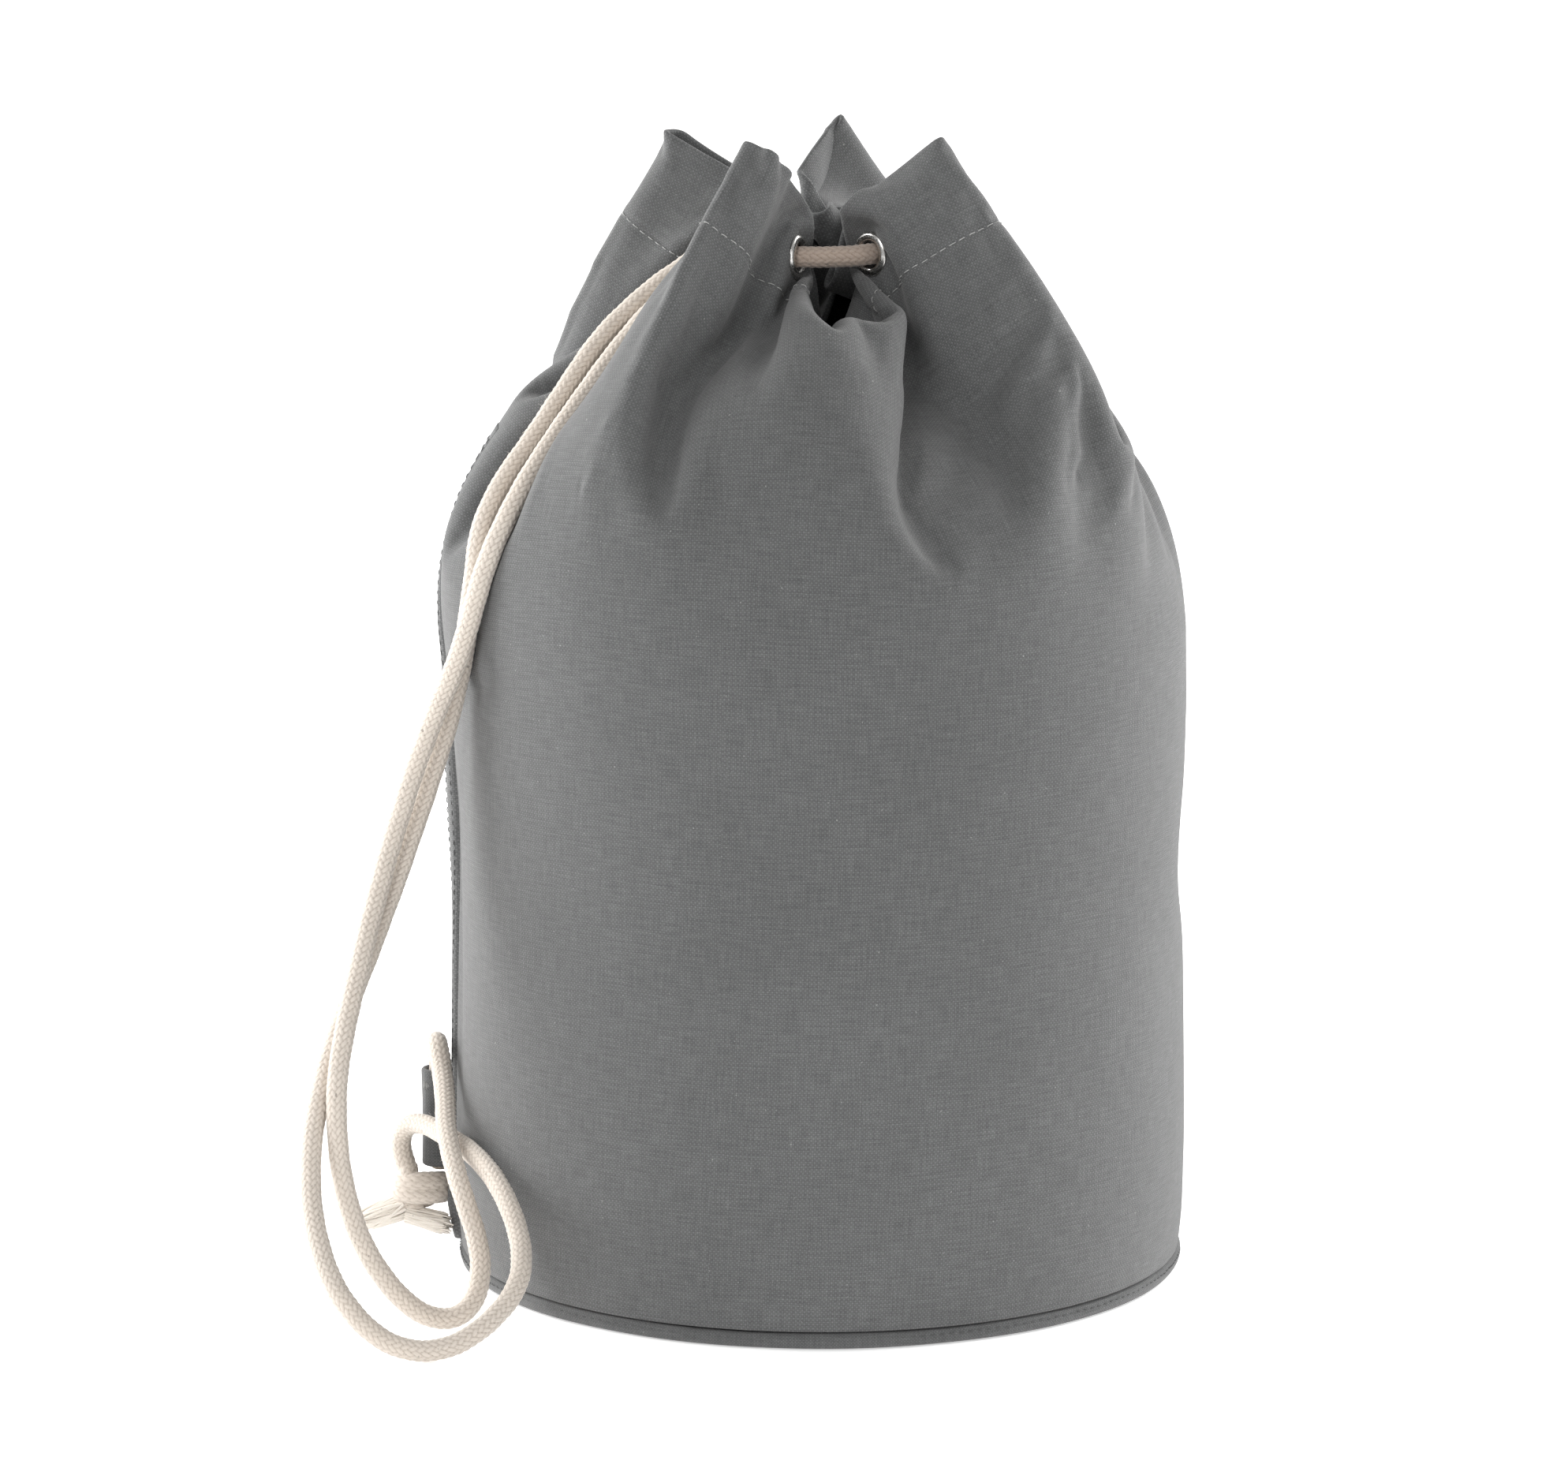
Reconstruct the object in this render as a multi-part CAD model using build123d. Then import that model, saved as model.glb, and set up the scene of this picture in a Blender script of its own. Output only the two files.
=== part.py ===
from build123d import *
import os
import math

os.makedirs("parts", exist_ok=True)

# Drawstring sailor-style backpack in plain canvas.  Millimetres, +Z up.
# Origin: centre of the flat underside of the base.  -Y is the front, -X the
# side where the shoulder cord is tied to the tab.

# ---------------------------------------------------------------- dimensions
CLOTH = 2.0            # wall of the simplified canvas solids
BASE_R = 138.0         # outside radius of the rolled base rim
BASE_T = 2.2           # base panel thickness
RIM_H = 7.0            # height of the rolled base rim
BODY_TOP_Z = 305.0     # where the straight body turns into the gathered neck
# outside profile of the stuffed body (radius, height)
BODY_PROFILE = [(138.5, 7.0), (140.3, 20.0), (140.7, 50.0), (140.0, 90.0),
                (139.5, 130.0), (139.2, 180.0), (139.8, 220.0), (139.3, 250.0),
                (134.8, 275.0), (129.8, 294.0), (124.5, 305.0)]
SEAM_AZ = 182.0        # azimuth of the felled side seam
SEAM_W = 11.0          # its width round the body
SEAM_T = 2.8           # how far it stands proud
SEAM_TOP = 250.0
TAB_Z0, TAB_Z1 = 35.0, 74.0      # cord tab height span
TAB_X = -147.5         # centre line of the cord inside the tab
TAB_HOLE_R = 4.9
TAB_T = 2.1
CORD_D = 8.0
EYE_R = 27.0           # radius of the ring on which the eyelets lie
EYE_HOLE_R = 5.2       # eyelet bore
EYE_BARREL_R = 5.9
EYE_FLANGE_R = 8.5
EYE_T = 0.9
FIN_W = 8.0            # half width of a fold where the eyelets are
NECK_TOP_Z = 438.0
# four folds of the gathered neck: azimuth at the shoulder, azimuth at the
# eyelets, tip radius at 402 mm, tip radius at the rim
LOBES = [(-36.0, -30.0, 74.0, 56.0),
         (56.0, 94.0, 74.0, 54.0),
         (143.0, 157.0, 75.0, 61.0),
         (-131.0, -126.0, 72.0, 52.0)]

# The cord: one rope, routed through all eight eyelets, both ends led down the
# left side, one through the tab, both into one knot.
INNER_STRAND = [
    (-22.2, -15.4, 390.8), (-24.3, -12.4, 390.4), (-27.4, -10.6, 388.8),
    (-31.2, -10.2, 386.7), (-38.0, -12.4, 385.3), (-47.2, -18.5, 381.7),
    (-62.7, -25.6, 372.3), (-76.2, -34.2, 357.1), (-89.8, -46.2, 339.8),
    (-109.9, -67.7, 312.5), (-124.5, -74.7, 283.0), (-133.4, -67.0, 248.9),
    (-148.7, -57.2, 213.2), (-163.0, -61.8, 169.1), (-172.9, -84.5, 130.1),
    (-180.9, -107.5, 91.4), (-177.0, -114.1, 50.3), (-164.3, -116.8, 22.1),
    (-146.3, -114.2, 3.9), (-130.2, -109.4, 5.4), (-125.8, -96.0, 22.9),
    (-135.0, -84.5, 46.5), (-141.6, -61.5, 61.5), (-143.2, -36.0, 70.5),
    (-145.0, -20.5, 77.0), (-146.9, -13.2, 84.4), (-147.9, -7.9, 85.9),
    (-148.1, -3.0, 84.0), (-147.7, 0.1, 79.5), (-147.3, 0.2, 71.5),
    (-147.7, -0.2, 60.0), (-147.3, 0.1, 47.0), (-147.5, 0.0, 33.0)]
OUTER_STRAND = [
    (-26.9, 1.8, 393.2), (-27.1, -1.8, 393.7), (-28.9, -4.9, 395.1),
    (-32.0, -7.2, 396.6), (-38.6, -8.6, 396.2), (-47.1, -10.5, 388.8),
    (-64.7, -16.0, 377.3), (-83.7, -26.1, 360.3), (-103.6, -40.8, 330.6),
    (-125.9, -62.3, 300.9), (-129.5, -64.1, 271.9), (-136.0, -52.2, 229.8),
    (-151.8, -50.6, 181.5), (-167.5, -68.3, 138.7), (-185.2, -95.3, 95.9),
    (-190.4, -119.0, 60.1), (-182.1, -142.3, 28.2), (-162.0, -154.4, 6.7),
    (-138.2, -155.1, 2.8), (-115.9, -140.2, 15.4), (-109.0, -120.9, 29.4),
    (-118.1, -92.5, 48.1), (-131.0, -65.4, 56.3), (-140.0, -41.4, 54.9),
    (-148.6, -23.6, 55.4), (-153.6, -15.0, 55.0), (-158.3, -9.0, 53.4),
    (-161.7, -5.2, 49.4), (-162.4, -3.6, 43.6), (-161.4, -3.2, 38.6),
    (-159.6, -3.5, 33.2)]
KNOT_C = (-155.9, -1.5)
KNOT_Z0, KNOT_Z1 = 14.0, 33.0
KNOT_RX, KNOT_RY = 12.0, 9.5


def save(shape, name):
    shape.label = name
    export_step(shape, "parts/%s.step" % name)
    print("%-26s volume %.0f mm3" % (name, shape.volume))


def lerp(a, b, t):
    return a + (b - a) * t


def profile_r(z):
    for (r0, z0), (r1, z1) in zip(BODY_PROFILE, BODY_PROFILE[1:]):
        if z <= z1:
            return lerp(r0, r1, (z - z0) / (z1 - z0))
    return BODY_PROFILE[-1][0]


def revolved(points, angle=360.0, start=0.0):
    # a closed (radius, height) outline turned about Z, from azimuth start
    face = make_face(Plane.XZ * Polyline(*points, close=True))
    solid = revolve(face, Axis.Z, angle)
    return Rot(0, 0, start) * solid


# -------------------------------------------------------------------- base
base_panel = revolved([(0, 0), (BASE_R - 1.2, 0), (BASE_R, 1.6), (BASE_R, RIM_H),
                       (BASE_R - 3.6, RIM_H), (BASE_R - 3.6, BASE_T), (0, BASE_T)])
save(base_panel, "base_panel")

# bound seam allowance that stands inside, round the base
base_seam_binding = revolved([(BASE_R - 6.2, BASE_T), (BASE_R - 3.6, BASE_T),
                              (BASE_R - 3.6, 12.0), (BASE_R - 6.2, 12.0)])
save(base_seam_binding, "base_seam_binding")

# -------------------------------------------------------------------- body
outer = [(r, z) for r, z in BODY_PROFILE]
inner = [(r - CLOTH, z) for r, z in reversed(BODY_PROFILE)]
body_panel = revolved(outer + inner)
save(body_panel, "body_panel")

# felled side seam: a narrow strip lying on the outside of the body
ang = math.degrees(SEAM_W / 140.0)
zs = [8.0, 20.0, 50.0, 90.0, 130.0, 180.0, 220.0, SEAM_TOP]
strip_out = [(profile_r(z) + SEAM_T, z) for z in zs]
strip_in = [(profile_r(z), z) for z in reversed(zs)]
side_seam = revolved(strip_out + strip_in, ang, SEAM_AZ - ang / 2)
save(side_seam, "side_seam")

# cord tab: a folded canvas loop sewn on the side seam, standing up and down
tab_r = TAB_HOLE_R + TAB_T
tab_2d = Pos(TAB_X, 0) * Circle(tab_r) + Pos(TAB_X + 5.5, 0) * Rectangle(11, 2 * tab_r)
tab_2d -= Pos(TAB_X, 0) * Circle(TAB_HOLE_R) + Pos(TAB_X + 5.5, 0) * Rectangle(11, 2 * TAB_HOLE_R)
cord_tab = Pos(0, 0, TAB_Z0) * extrude(tab_2d, TAB_Z1 - TAB_Z0)
core = revolved([(0, 0)] + [(profile_r(z), z) for z in [7.0, 20.0, 50.0, 90.0, 130.0]] + [(0, 130.0)])
strip_core = revolved([(100.0, 8.0)] + strip_out[:4] + [(100.0, 90.0)], ang, SEAM_AZ - ang / 2)
cord_tab = cord_tab - core - strip_core
save(cord_tab, "cord_tab")

# ------------------------------------------------------------ gathered neck
HALF_GAP_F = [(0.0, 0), (0.28, 1), (0.55, 2), (0.80, 3), (1.0, 4)]
# radii at tip, tip side, flank, root and valley for the upper, rounded levels
ROUND = {305.0: (124.5, 124.5, 124.5, 124.5, 124.5),
         330.0: (113.0, 110.0, 101.0, 90.0, 82.0),
         350.0: (103.0, 98.0, 82.0, 62.0, 50.0)}
NARROW = {368.0: (93.0, 10.0, 30.0, 26.0),
          380.0: (86.0, FIN_W, 18.0, 17.0),
          402.0: (None, FIN_W, 16.5, 17.0),
          NECK_TOP_Z: (None, FIN_W, 16.5, 17.0)}


def lobe_az(i, z):
    a0, a1 = LOBES[i][0], LOBES[i][1]
    t = min(max((z - BODY_TOP_Z) / (380.0 - BODY_TOP_Z), 0.0), 1.0)
    return lerp(a0, a1, t)


def neck_section(z, off):
    pts = []
    n = len(LOBES)
    for i in range(n):
        az = lobe_az(i, z)
        prev = lobe_az((i - 1) % n, z)
        nxt = lobe_az((i + 1) % n, z)
        gap_l = (az - prev) % 360.0 / 2
        gap_r = (nxt - az) % 360.0 / 2
        if z in ROUND:
            rr = ROUND[z]
            for f, k in ((0.80, 3), (0.55, 2), (0.28, 1)):
                pts.append((rr[k] - off, az - f * gap_l))
            pts.append((rr[0] - off, az))
            for f, k in ((0.28, 1), (0.55, 2), (0.80, 3)):
                pts.append((rr[k] - off, az + f * gap_r))
            pts.append((rr[4] - off, az + gap_r))
        else:
            rt, w, rr, rv = NARROW[z]
            if rt is None:
                rt = LOBES[i][2] if z == 402.0 else LOBES[i][3]
            w -= off
            rt -= off
            rr -= off * 0.4
            side = [(rr, w), ((rr + rt) / 2, w), (rt - 2.5, w)]
            for a, b in side:
                pts.append((math.hypot(a, b), az - math.degrees(math.atan2(b, a))))
            pts.append((rt, az))
            for a, b in reversed(side):
                pts.append((math.hypot(a, b), az + math.degrees(math.atan2(b, a))))
            pts.append((rv - off, az + gap_r))
    return [(r * math.cos(math.radians(a)), r * math.sin(math.radians(a))) for r, a in pts]


def neck_solid(off, z_pad):
    levels = sorted(list(ROUND) + list(NARROW))
    wires = []
    for k, z in enumerate(levels):
        zz = z
        if z_pad and k == len(levels) - 1:
            zz = z + z_pad
        if z_pad and k == 0:
            zz = z
        wires.append(make_face(Pos(0, 0, zz) * Polyline(*neck_section(z, off), close=True)))
    return loft(wires, ruled=True)


neck = neck_solid(0.0, 0.0) - neck_solid(CLOTH, 0.0)


def eyelet_place(i, side):
    # centre and outward direction of one eyelet: lobe i, side -1 or +1
    az = math.radians(LOBES[i][1])
    a = (math.cos(az), math.sin(az))
    p = (-math.sin(az) * side, math.cos(az) * side)
    along = math.sqrt(EYE_R ** 2 - (FIN_W - 1.0) ** 2)
    return (a[0] * along, a[1] * along), p


# order round the ring from the inner strand's end to the outer strand's end
ORDER = [(3, -1), (3, 1), (0, -1), (0, 1), (1, -1), (1, 1), (2, -1), (2, 1)]
ring_start = (INNER_STRAND[0][0], INNER_STRAND[0][1])
ring_end = (OUTER_STRAND[0][0], OUTER_STRAND[0][1])
A0 = math.degrees(math.atan2(ring_start[1], ring_start[0]))       # about -145
A1 = math.degrees(math.atan2(ring_end[1], ring_end[0]))           # about 176
Z0, Z1 = INNER_STRAND[0][2], OUTER_STRAND[0][2]


def ring_z(az):
    t = ((az - A0) % 360.0) / ((A1 - A0) % 360.0)
    return lerp(Z0, Z1, t)


barrel = [(EYE_HOLE_R, -3.0), (EYE_BARREL_R, -3.0), (EYE_BARREL_R, 0.0),
          (EYE_FLANGE_R, 0.0), (EYE_FLANGE_R - 0.4, EYE_T), (EYE_HOLE_R, EYE_T)]
washer = [(EYE_BARREL_R, -CLOTH - EYE_T), (EYE_FLANGE_R - 0.2, -CLOTH - EYE_T),
          (EYE_FLANGE_R - 0.2, -CLOTH), (EYE_BARREL_R, -CLOTH)]
holes = []
# numbering: 1 is the front eyelet left of centre, then on round the neck
names = {(3, 1): 1, (0, -1): 2, (0, 1): 3, (1, -1): 4, (1, 1): 5, (2, -1): 6, (2, 1): 7, (3, -1): 8}
# the eyelet on the far side of fold 3 faces the left valley
for (i, s), k in names.items():
    (cx, cy), p = eyelet_place(i, s)
    az_here = math.degrees(math.atan2(cy + p[1] * (FIN_W - 1), cx + p[0] * (FIN_W - 1)))
    z = ring_z(az_here)
    face_pt = (cx + p[0] * FIN_W, cy + p[1] * FIN_W, z)
    pl = Plane(origin=face_pt, z_dir=(p[0], p[1], 0), x_dir=(0, 0, 1))
    eye = Location(pl) * revolved(barrel)
    wsh = Location(pl) * revolved(washer)
    save(eye, "eyelet_%d" % k)
    save(wsh, "eyelet_washer_%d" % k)
    holes.append(Location(pl) * (Pos(0, 0, -1.0) * Cylinder(EYE_BARREL_R, 4.4)))
    print("   eyelet", k, "azimuth %.1f" % az_here, "at (%.1f, %.1f, %.1f)" % face_pt)
for h in holes:
    neck = neck - h
save(neck, "gathered_neck")


# --------------------------------------------------------------------- cord
def cord(points, name, show=True):
    pts = [Vector(*p) for p in points]
    runs = [(b - a).length for a, b in zip(pts, pts[1:])]
    radii, turns = [], []
    for i in range(1, len(pts) - 1):
        turn = (pts[i] - pts[i - 1]).get_angle(pts[i + 1] - pts[i])
        radii.append(0.45 * min(runs[i - 1], runs[i]) / math.tan(math.radians(turn / 2)))
        turns.append(turn)
    path = FilletPolyline(*pts, radius=radii)
    tube = sweep(Plane(origin=path @ 0, z_dir=path % 0) * Circle(CORD_D / 2), path=path)
    area = math.pi * CORD_D ** 2 / 4
    print("%s length %.1f, volume %.0f against %.0f" % (name, path.length, tube.volume, area * path.length))
    if show:
        print("   runs ", " ".join("%.0f" % r for r in runs))
        print("   radii", " ".join("%.1f" % r for r in radii))
        print("   turns", " ".join("%.0f" % t for t in turns))
    save(tube, name)
    return tube


N_RING = 16
ring_pts = []
span = (A1 - A0) % 360.0
step = span / N_RING
rc = EYE_R / math.cos(math.radians(step / 2))
ring_pts.append((ring_start[0], ring_start[1], Z0))
for k in range(N_RING):
    a = math.radians(A0 + (k + 0.5) * step)
    ring_pts.append((rc * math.cos(a), rc * math.sin(a), lerp(Z0, Z1, (k + 0.5) / N_RING)))
ring_pts.append((ring_end[0], ring_end[1], Z1))


def lead(p0, p1, q):
    # the point as far from p0 as q is, straight back from the run p0 to p1
    d = Vector(*p0) - Vector(*p1)
    v = Vector(*p0) + d.normalized() * (Vector(*q) - Vector(*p0)).length
    return (v.X, v.Y, v.Z)


ring_pts[1] = lead(INNER_STRAND[0], INNER_STRAND[1], ring_pts[1])
ring_pts[-2] = lead(OUTER_STRAND[0], OUTER_STRAND[1], ring_pts[-2])
ring_tube = cord(ring_pts, "drawstring_neck_run", show=False)
inner_tube = cord(INNER_STRAND, "drawstring_inner_strand")
outer_tube = cord(OUTER_STRAND, "drawstring_outer_strand")

# the knot under the tab: a plain rounded lump, flat where the cord enters
knot = Pos(KNOT_C[0], KNOT_C[1], (KNOT_Z0 + KNOT_Z1) / 2) * Box(2 * KNOT_RX, 2 * KNOT_RY, KNOT_Z1 - KNOT_Z0)
knot = fillet(knot.edges().filter_by(Axis.Z), 6.0)
knot = fillet(knot.faces().sort_by(Axis.Z)[0].edges(), 4.0)
knot = knot - outer_tube - inner_tube
save(knot, "drawstring_knot")

# the two frayed ends that stick out of the knot
def tail(a, b, r0, r1):
    d = Vector(*b) - Vector(*a)
    c = Solid.make_cone(r0, r1, d.length, Plane(origin=a, z_dir=d))
    return c - knot


frayed_end_1 = tail((-162.0, -1.0, 24.0), (-179.0, -1.0, 13.5), 4.2, 6.0)
frayed_end_2 = tail((-152.5, -6.0, 21.0), (-150.8, -12.5, 8.8), 4.2, 5.4)
save(frayed_end_1, "frayed_end_1")
save(frayed_end_2, "frayed_end_2")
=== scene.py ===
import math

import bpy
import numpy as np
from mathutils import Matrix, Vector


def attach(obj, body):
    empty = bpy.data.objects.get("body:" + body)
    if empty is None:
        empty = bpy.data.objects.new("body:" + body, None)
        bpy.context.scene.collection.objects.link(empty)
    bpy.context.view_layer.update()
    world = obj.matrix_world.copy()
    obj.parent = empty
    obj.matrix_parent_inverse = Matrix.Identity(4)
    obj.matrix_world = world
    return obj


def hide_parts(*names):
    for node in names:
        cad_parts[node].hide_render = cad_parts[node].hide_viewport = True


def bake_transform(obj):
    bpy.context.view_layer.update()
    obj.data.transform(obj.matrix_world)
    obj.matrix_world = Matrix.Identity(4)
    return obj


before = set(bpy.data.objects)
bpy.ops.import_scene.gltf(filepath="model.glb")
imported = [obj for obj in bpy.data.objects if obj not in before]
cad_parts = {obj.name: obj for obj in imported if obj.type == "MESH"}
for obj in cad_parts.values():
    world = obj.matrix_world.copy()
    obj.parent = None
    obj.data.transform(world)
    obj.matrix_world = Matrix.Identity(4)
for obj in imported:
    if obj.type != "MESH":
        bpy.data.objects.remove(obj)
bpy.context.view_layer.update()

rng = np.random.default_rng(7)
scene = bpy.context.scene

# ------------------------------------------------------------------ camera
cam_data = bpy.data.cameras.new("camera")
cam_data.sensor_width = 36.0
cam_data.lens = 146.155
cam_data.clip_end = 30.0
cam_data.dof.use_dof = False
cam = bpy.data.objects.new("camera", cam_data)
cam.location = (-0.0139, -2.4, 0.650)
cam.rotation_euler = (math.radians(90.0 - 10.49), 0.0, 0.0)
scene.collection.objects.link(cam)
scene.camera = cam
EYE_POINT = np.array([-13.9, -2400.0, 650.0])

# ------------------------------------------------------------------- cords
INNER_STRAND = [
    (-22.2, -15.4, 390.8), (-24.3, -12.4, 390.4), (-27.4, -10.6, 388.8),
    (-31.2, -10.2, 386.7), (-38.0, -12.4, 385.3), (-47.2, -18.5, 381.7),
    (-62.7, -25.6, 372.3), (-76.2, -34.2, 357.1), (-89.8, -46.2, 339.8),
    (-109.9, -67.7, 312.5), (-124.5, -74.7, 283.0), (-133.4, -67.0, 248.9),
    (-148.7, -57.2, 213.2), (-163.0, -61.8, 169.1), (-172.9, -84.5, 130.1),
    (-180.9, -107.5, 91.4), (-177.0, -114.1, 50.3), (-164.3, -116.8, 22.1),
    (-146.3, -114.2, 3.9), (-130.2, -109.4, 5.4), (-125.8, -96.0, 22.9),
    (-135.0, -84.5, 46.5), (-141.6, -61.5, 61.5), (-143.2, -36.0, 70.5),
    (-145.0, -20.5, 77.0), (-146.9, -13.2, 84.4), (-147.9, -7.9, 85.9),
    (-148.1, -3.0, 84.0), (-147.7, 0.1, 79.5), (-147.3, 0.2, 71.5),
    (-147.7, -0.2, 60.0), (-147.3, 0.1, 47.0), (-147.5, 0.0, 33.0)]
OUTER_STRAND = [
    (-26.9, 1.8, 393.2), (-27.1, -1.8, 393.7), (-28.9, -4.9, 395.1),
    (-32.0, -7.2, 396.6), (-38.6, -8.6, 396.2), (-47.1, -10.5, 388.8),
    (-64.7, -16.0, 377.3), (-83.7, -26.1, 360.3), (-103.6, -40.8, 330.6),
    (-125.9, -62.3, 300.9), (-129.5, -64.1, 271.9), (-136.0, -52.2, 229.8),
    (-151.8, -50.6, 181.5), (-167.5, -68.3, 138.7), (-185.2, -95.3, 95.9),
    (-190.4, -119.0, 60.1), (-182.1, -142.3, 28.2), (-162.0, -154.4, 6.7),
    (-138.2, -155.1, 2.8), (-115.9, -140.2, 15.4), (-109.0, -120.9, 29.4),
    (-118.1, -92.5, 48.1), (-131.0, -65.4, 56.3), (-140.0, -41.4, 54.9),
    (-148.6, -23.6, 55.4), (-153.6, -15.0, 55.0), (-158.3, -9.0, 53.4),
    (-161.7, -5.2, 49.4), (-162.4, -3.6, 43.6), (-161.4, -3.2, 38.6),
    (-159.6, -3.5, 33.2)]
CORD_D = 8.0
EYE_R, FIN_W = 27.0, 8.0
Z0, Z1 = 390.8, 393.2
N_RING = 16


def ring_route():
    a0 = math.degrees(math.atan2(INNER_STRAND[0][1], INNER_STRAND[0][0]))
    a1 = math.degrees(math.atan2(OUTER_STRAND[0][1], OUTER_STRAND[0][0]))
    step = ((a1 - a0) % 360.0) / N_RING
    rc = EYE_R / math.cos(math.radians(step / 2))
    pts = [INNER_STRAND[0]]
    for k in range(N_RING):
        a = math.radians(a0 + (k + 0.5) * step)
        pts.append((rc * math.cos(a), rc * math.sin(a), Z0 + (Z1 - Z0) * (k + 0.5) / N_RING))
    pts.append(OUTER_STRAND[0])

    def lead(p0, p1, q):
        d = Vector(p0) - Vector(p1)
        return tuple(Vector(p0) + d.normalized() * (Vector(q) - Vector(p0)).length)

    pts[1] = lead(INNER_STRAND[0], INNER_STRAND[1], pts[1])
    pts[-2] = lead(OUTER_STRAND[0], OUTER_STRAND[1], pts[-2])
    return pts


def nurbs_line(name, route):
    """the points of one NURBS through the route, in mm"""
    cu = bpy.data.curves.new(name, "CURVE")
    cu.dimensions = "3D"
    cu.resolution_u = 24
    sp = cu.splines.new("NURBS")
    sp.points.add(len(route) - 1)
    for p, c in zip(sp.points, route):
        p.co = (c[0] / 1000, c[1] / 1000, c[2] / 1000, 1.0)
    sp.order_u = 3
    sp.use_endpoint_u = True
    ob = bpy.data.objects.new(name, cu)
    scene.collection.objects.link(ob)
    bpy.context.view_layer.update()
    me = bpy.data.meshes.new_from_object(ob)
    line = np.array([v.co for v in me.vertices], float).reshape(-1, 3) * 1000
    bpy.data.meshes.remove(me)
    bpy.data.objects.remove(ob)
    bpy.data.curves.remove(cu)
    return line


INNER_LINE = nurbs_line("inner_route", INNER_STRAND)
OUTER_LINE = nurbs_line("outer_route", OUTER_STRAND)
RING_LINE = nurbs_line("ring_route", ring_route())


def length_of(line):
    return float(np.linalg.norm(np.diff(line, axis=0), axis=1).sum())


def resample(line, step):
    line = np.asarray(line, float)
    d = np.r_[0, np.cumsum(np.linalg.norm(np.diff(line, axis=0), axis=1))]
    n = max(2, int(round(d[-1] / step)) + 1)
    s = np.linspace(0, d[-1], n)
    return np.stack([np.interp(s, d, line[:, k]) for k in range(3)], 1), s


# ------------------------------------------------------------ cloth: start
# The canvas is one flat tube of cloth, 880 mm round and 450 mm high, with
# eight eyelets 20 mm under its rim. It is gathered by the ring of cord
# through the eyelets, with a position-based simulation from coarse to fine.
CIRC, VTOT, V_EYE, V_HEM, U0, Z_BASE = 880.0, 450.0, 430.0, 412.0, -43.0, 7.0
# eyelet: (place round the flat cloth, fold, side of the fold)
EYES = {1: (-43.0, 3, 1), 2: (67.0, 0, -1), 3: (177.0, 0, 1), 4: (287.0, 1, -1),
        5: (397.0, 1, 1), 6: (507.0, 2, -1), 7: (617.0, 2, 1), 8: (727.0, 3, -1)}
FOLD_AZ = [(-36.0, -30.0), (56.0, 94.0), (143.0, 157.0), (-131.0, -126.0)]
FOLD_U = [122.0, 342.0, 562.0, 782.0]
VALLEY_U = [12.0, 232.0, 452.0, 672.0]
RING_A0, RING_A1 = -145.25, 176.17
PROF = np.array([(138.6, 0.0), (138.5, 7.0), (140.3, 20.0), (140.7, 50.0), (140.0, 90.0), (139.5, 130.0),
                 (139.2, 180.0), (139.8, 220.0), (139.5, 250.0)])
HEM_TILT = 44.0
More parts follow.
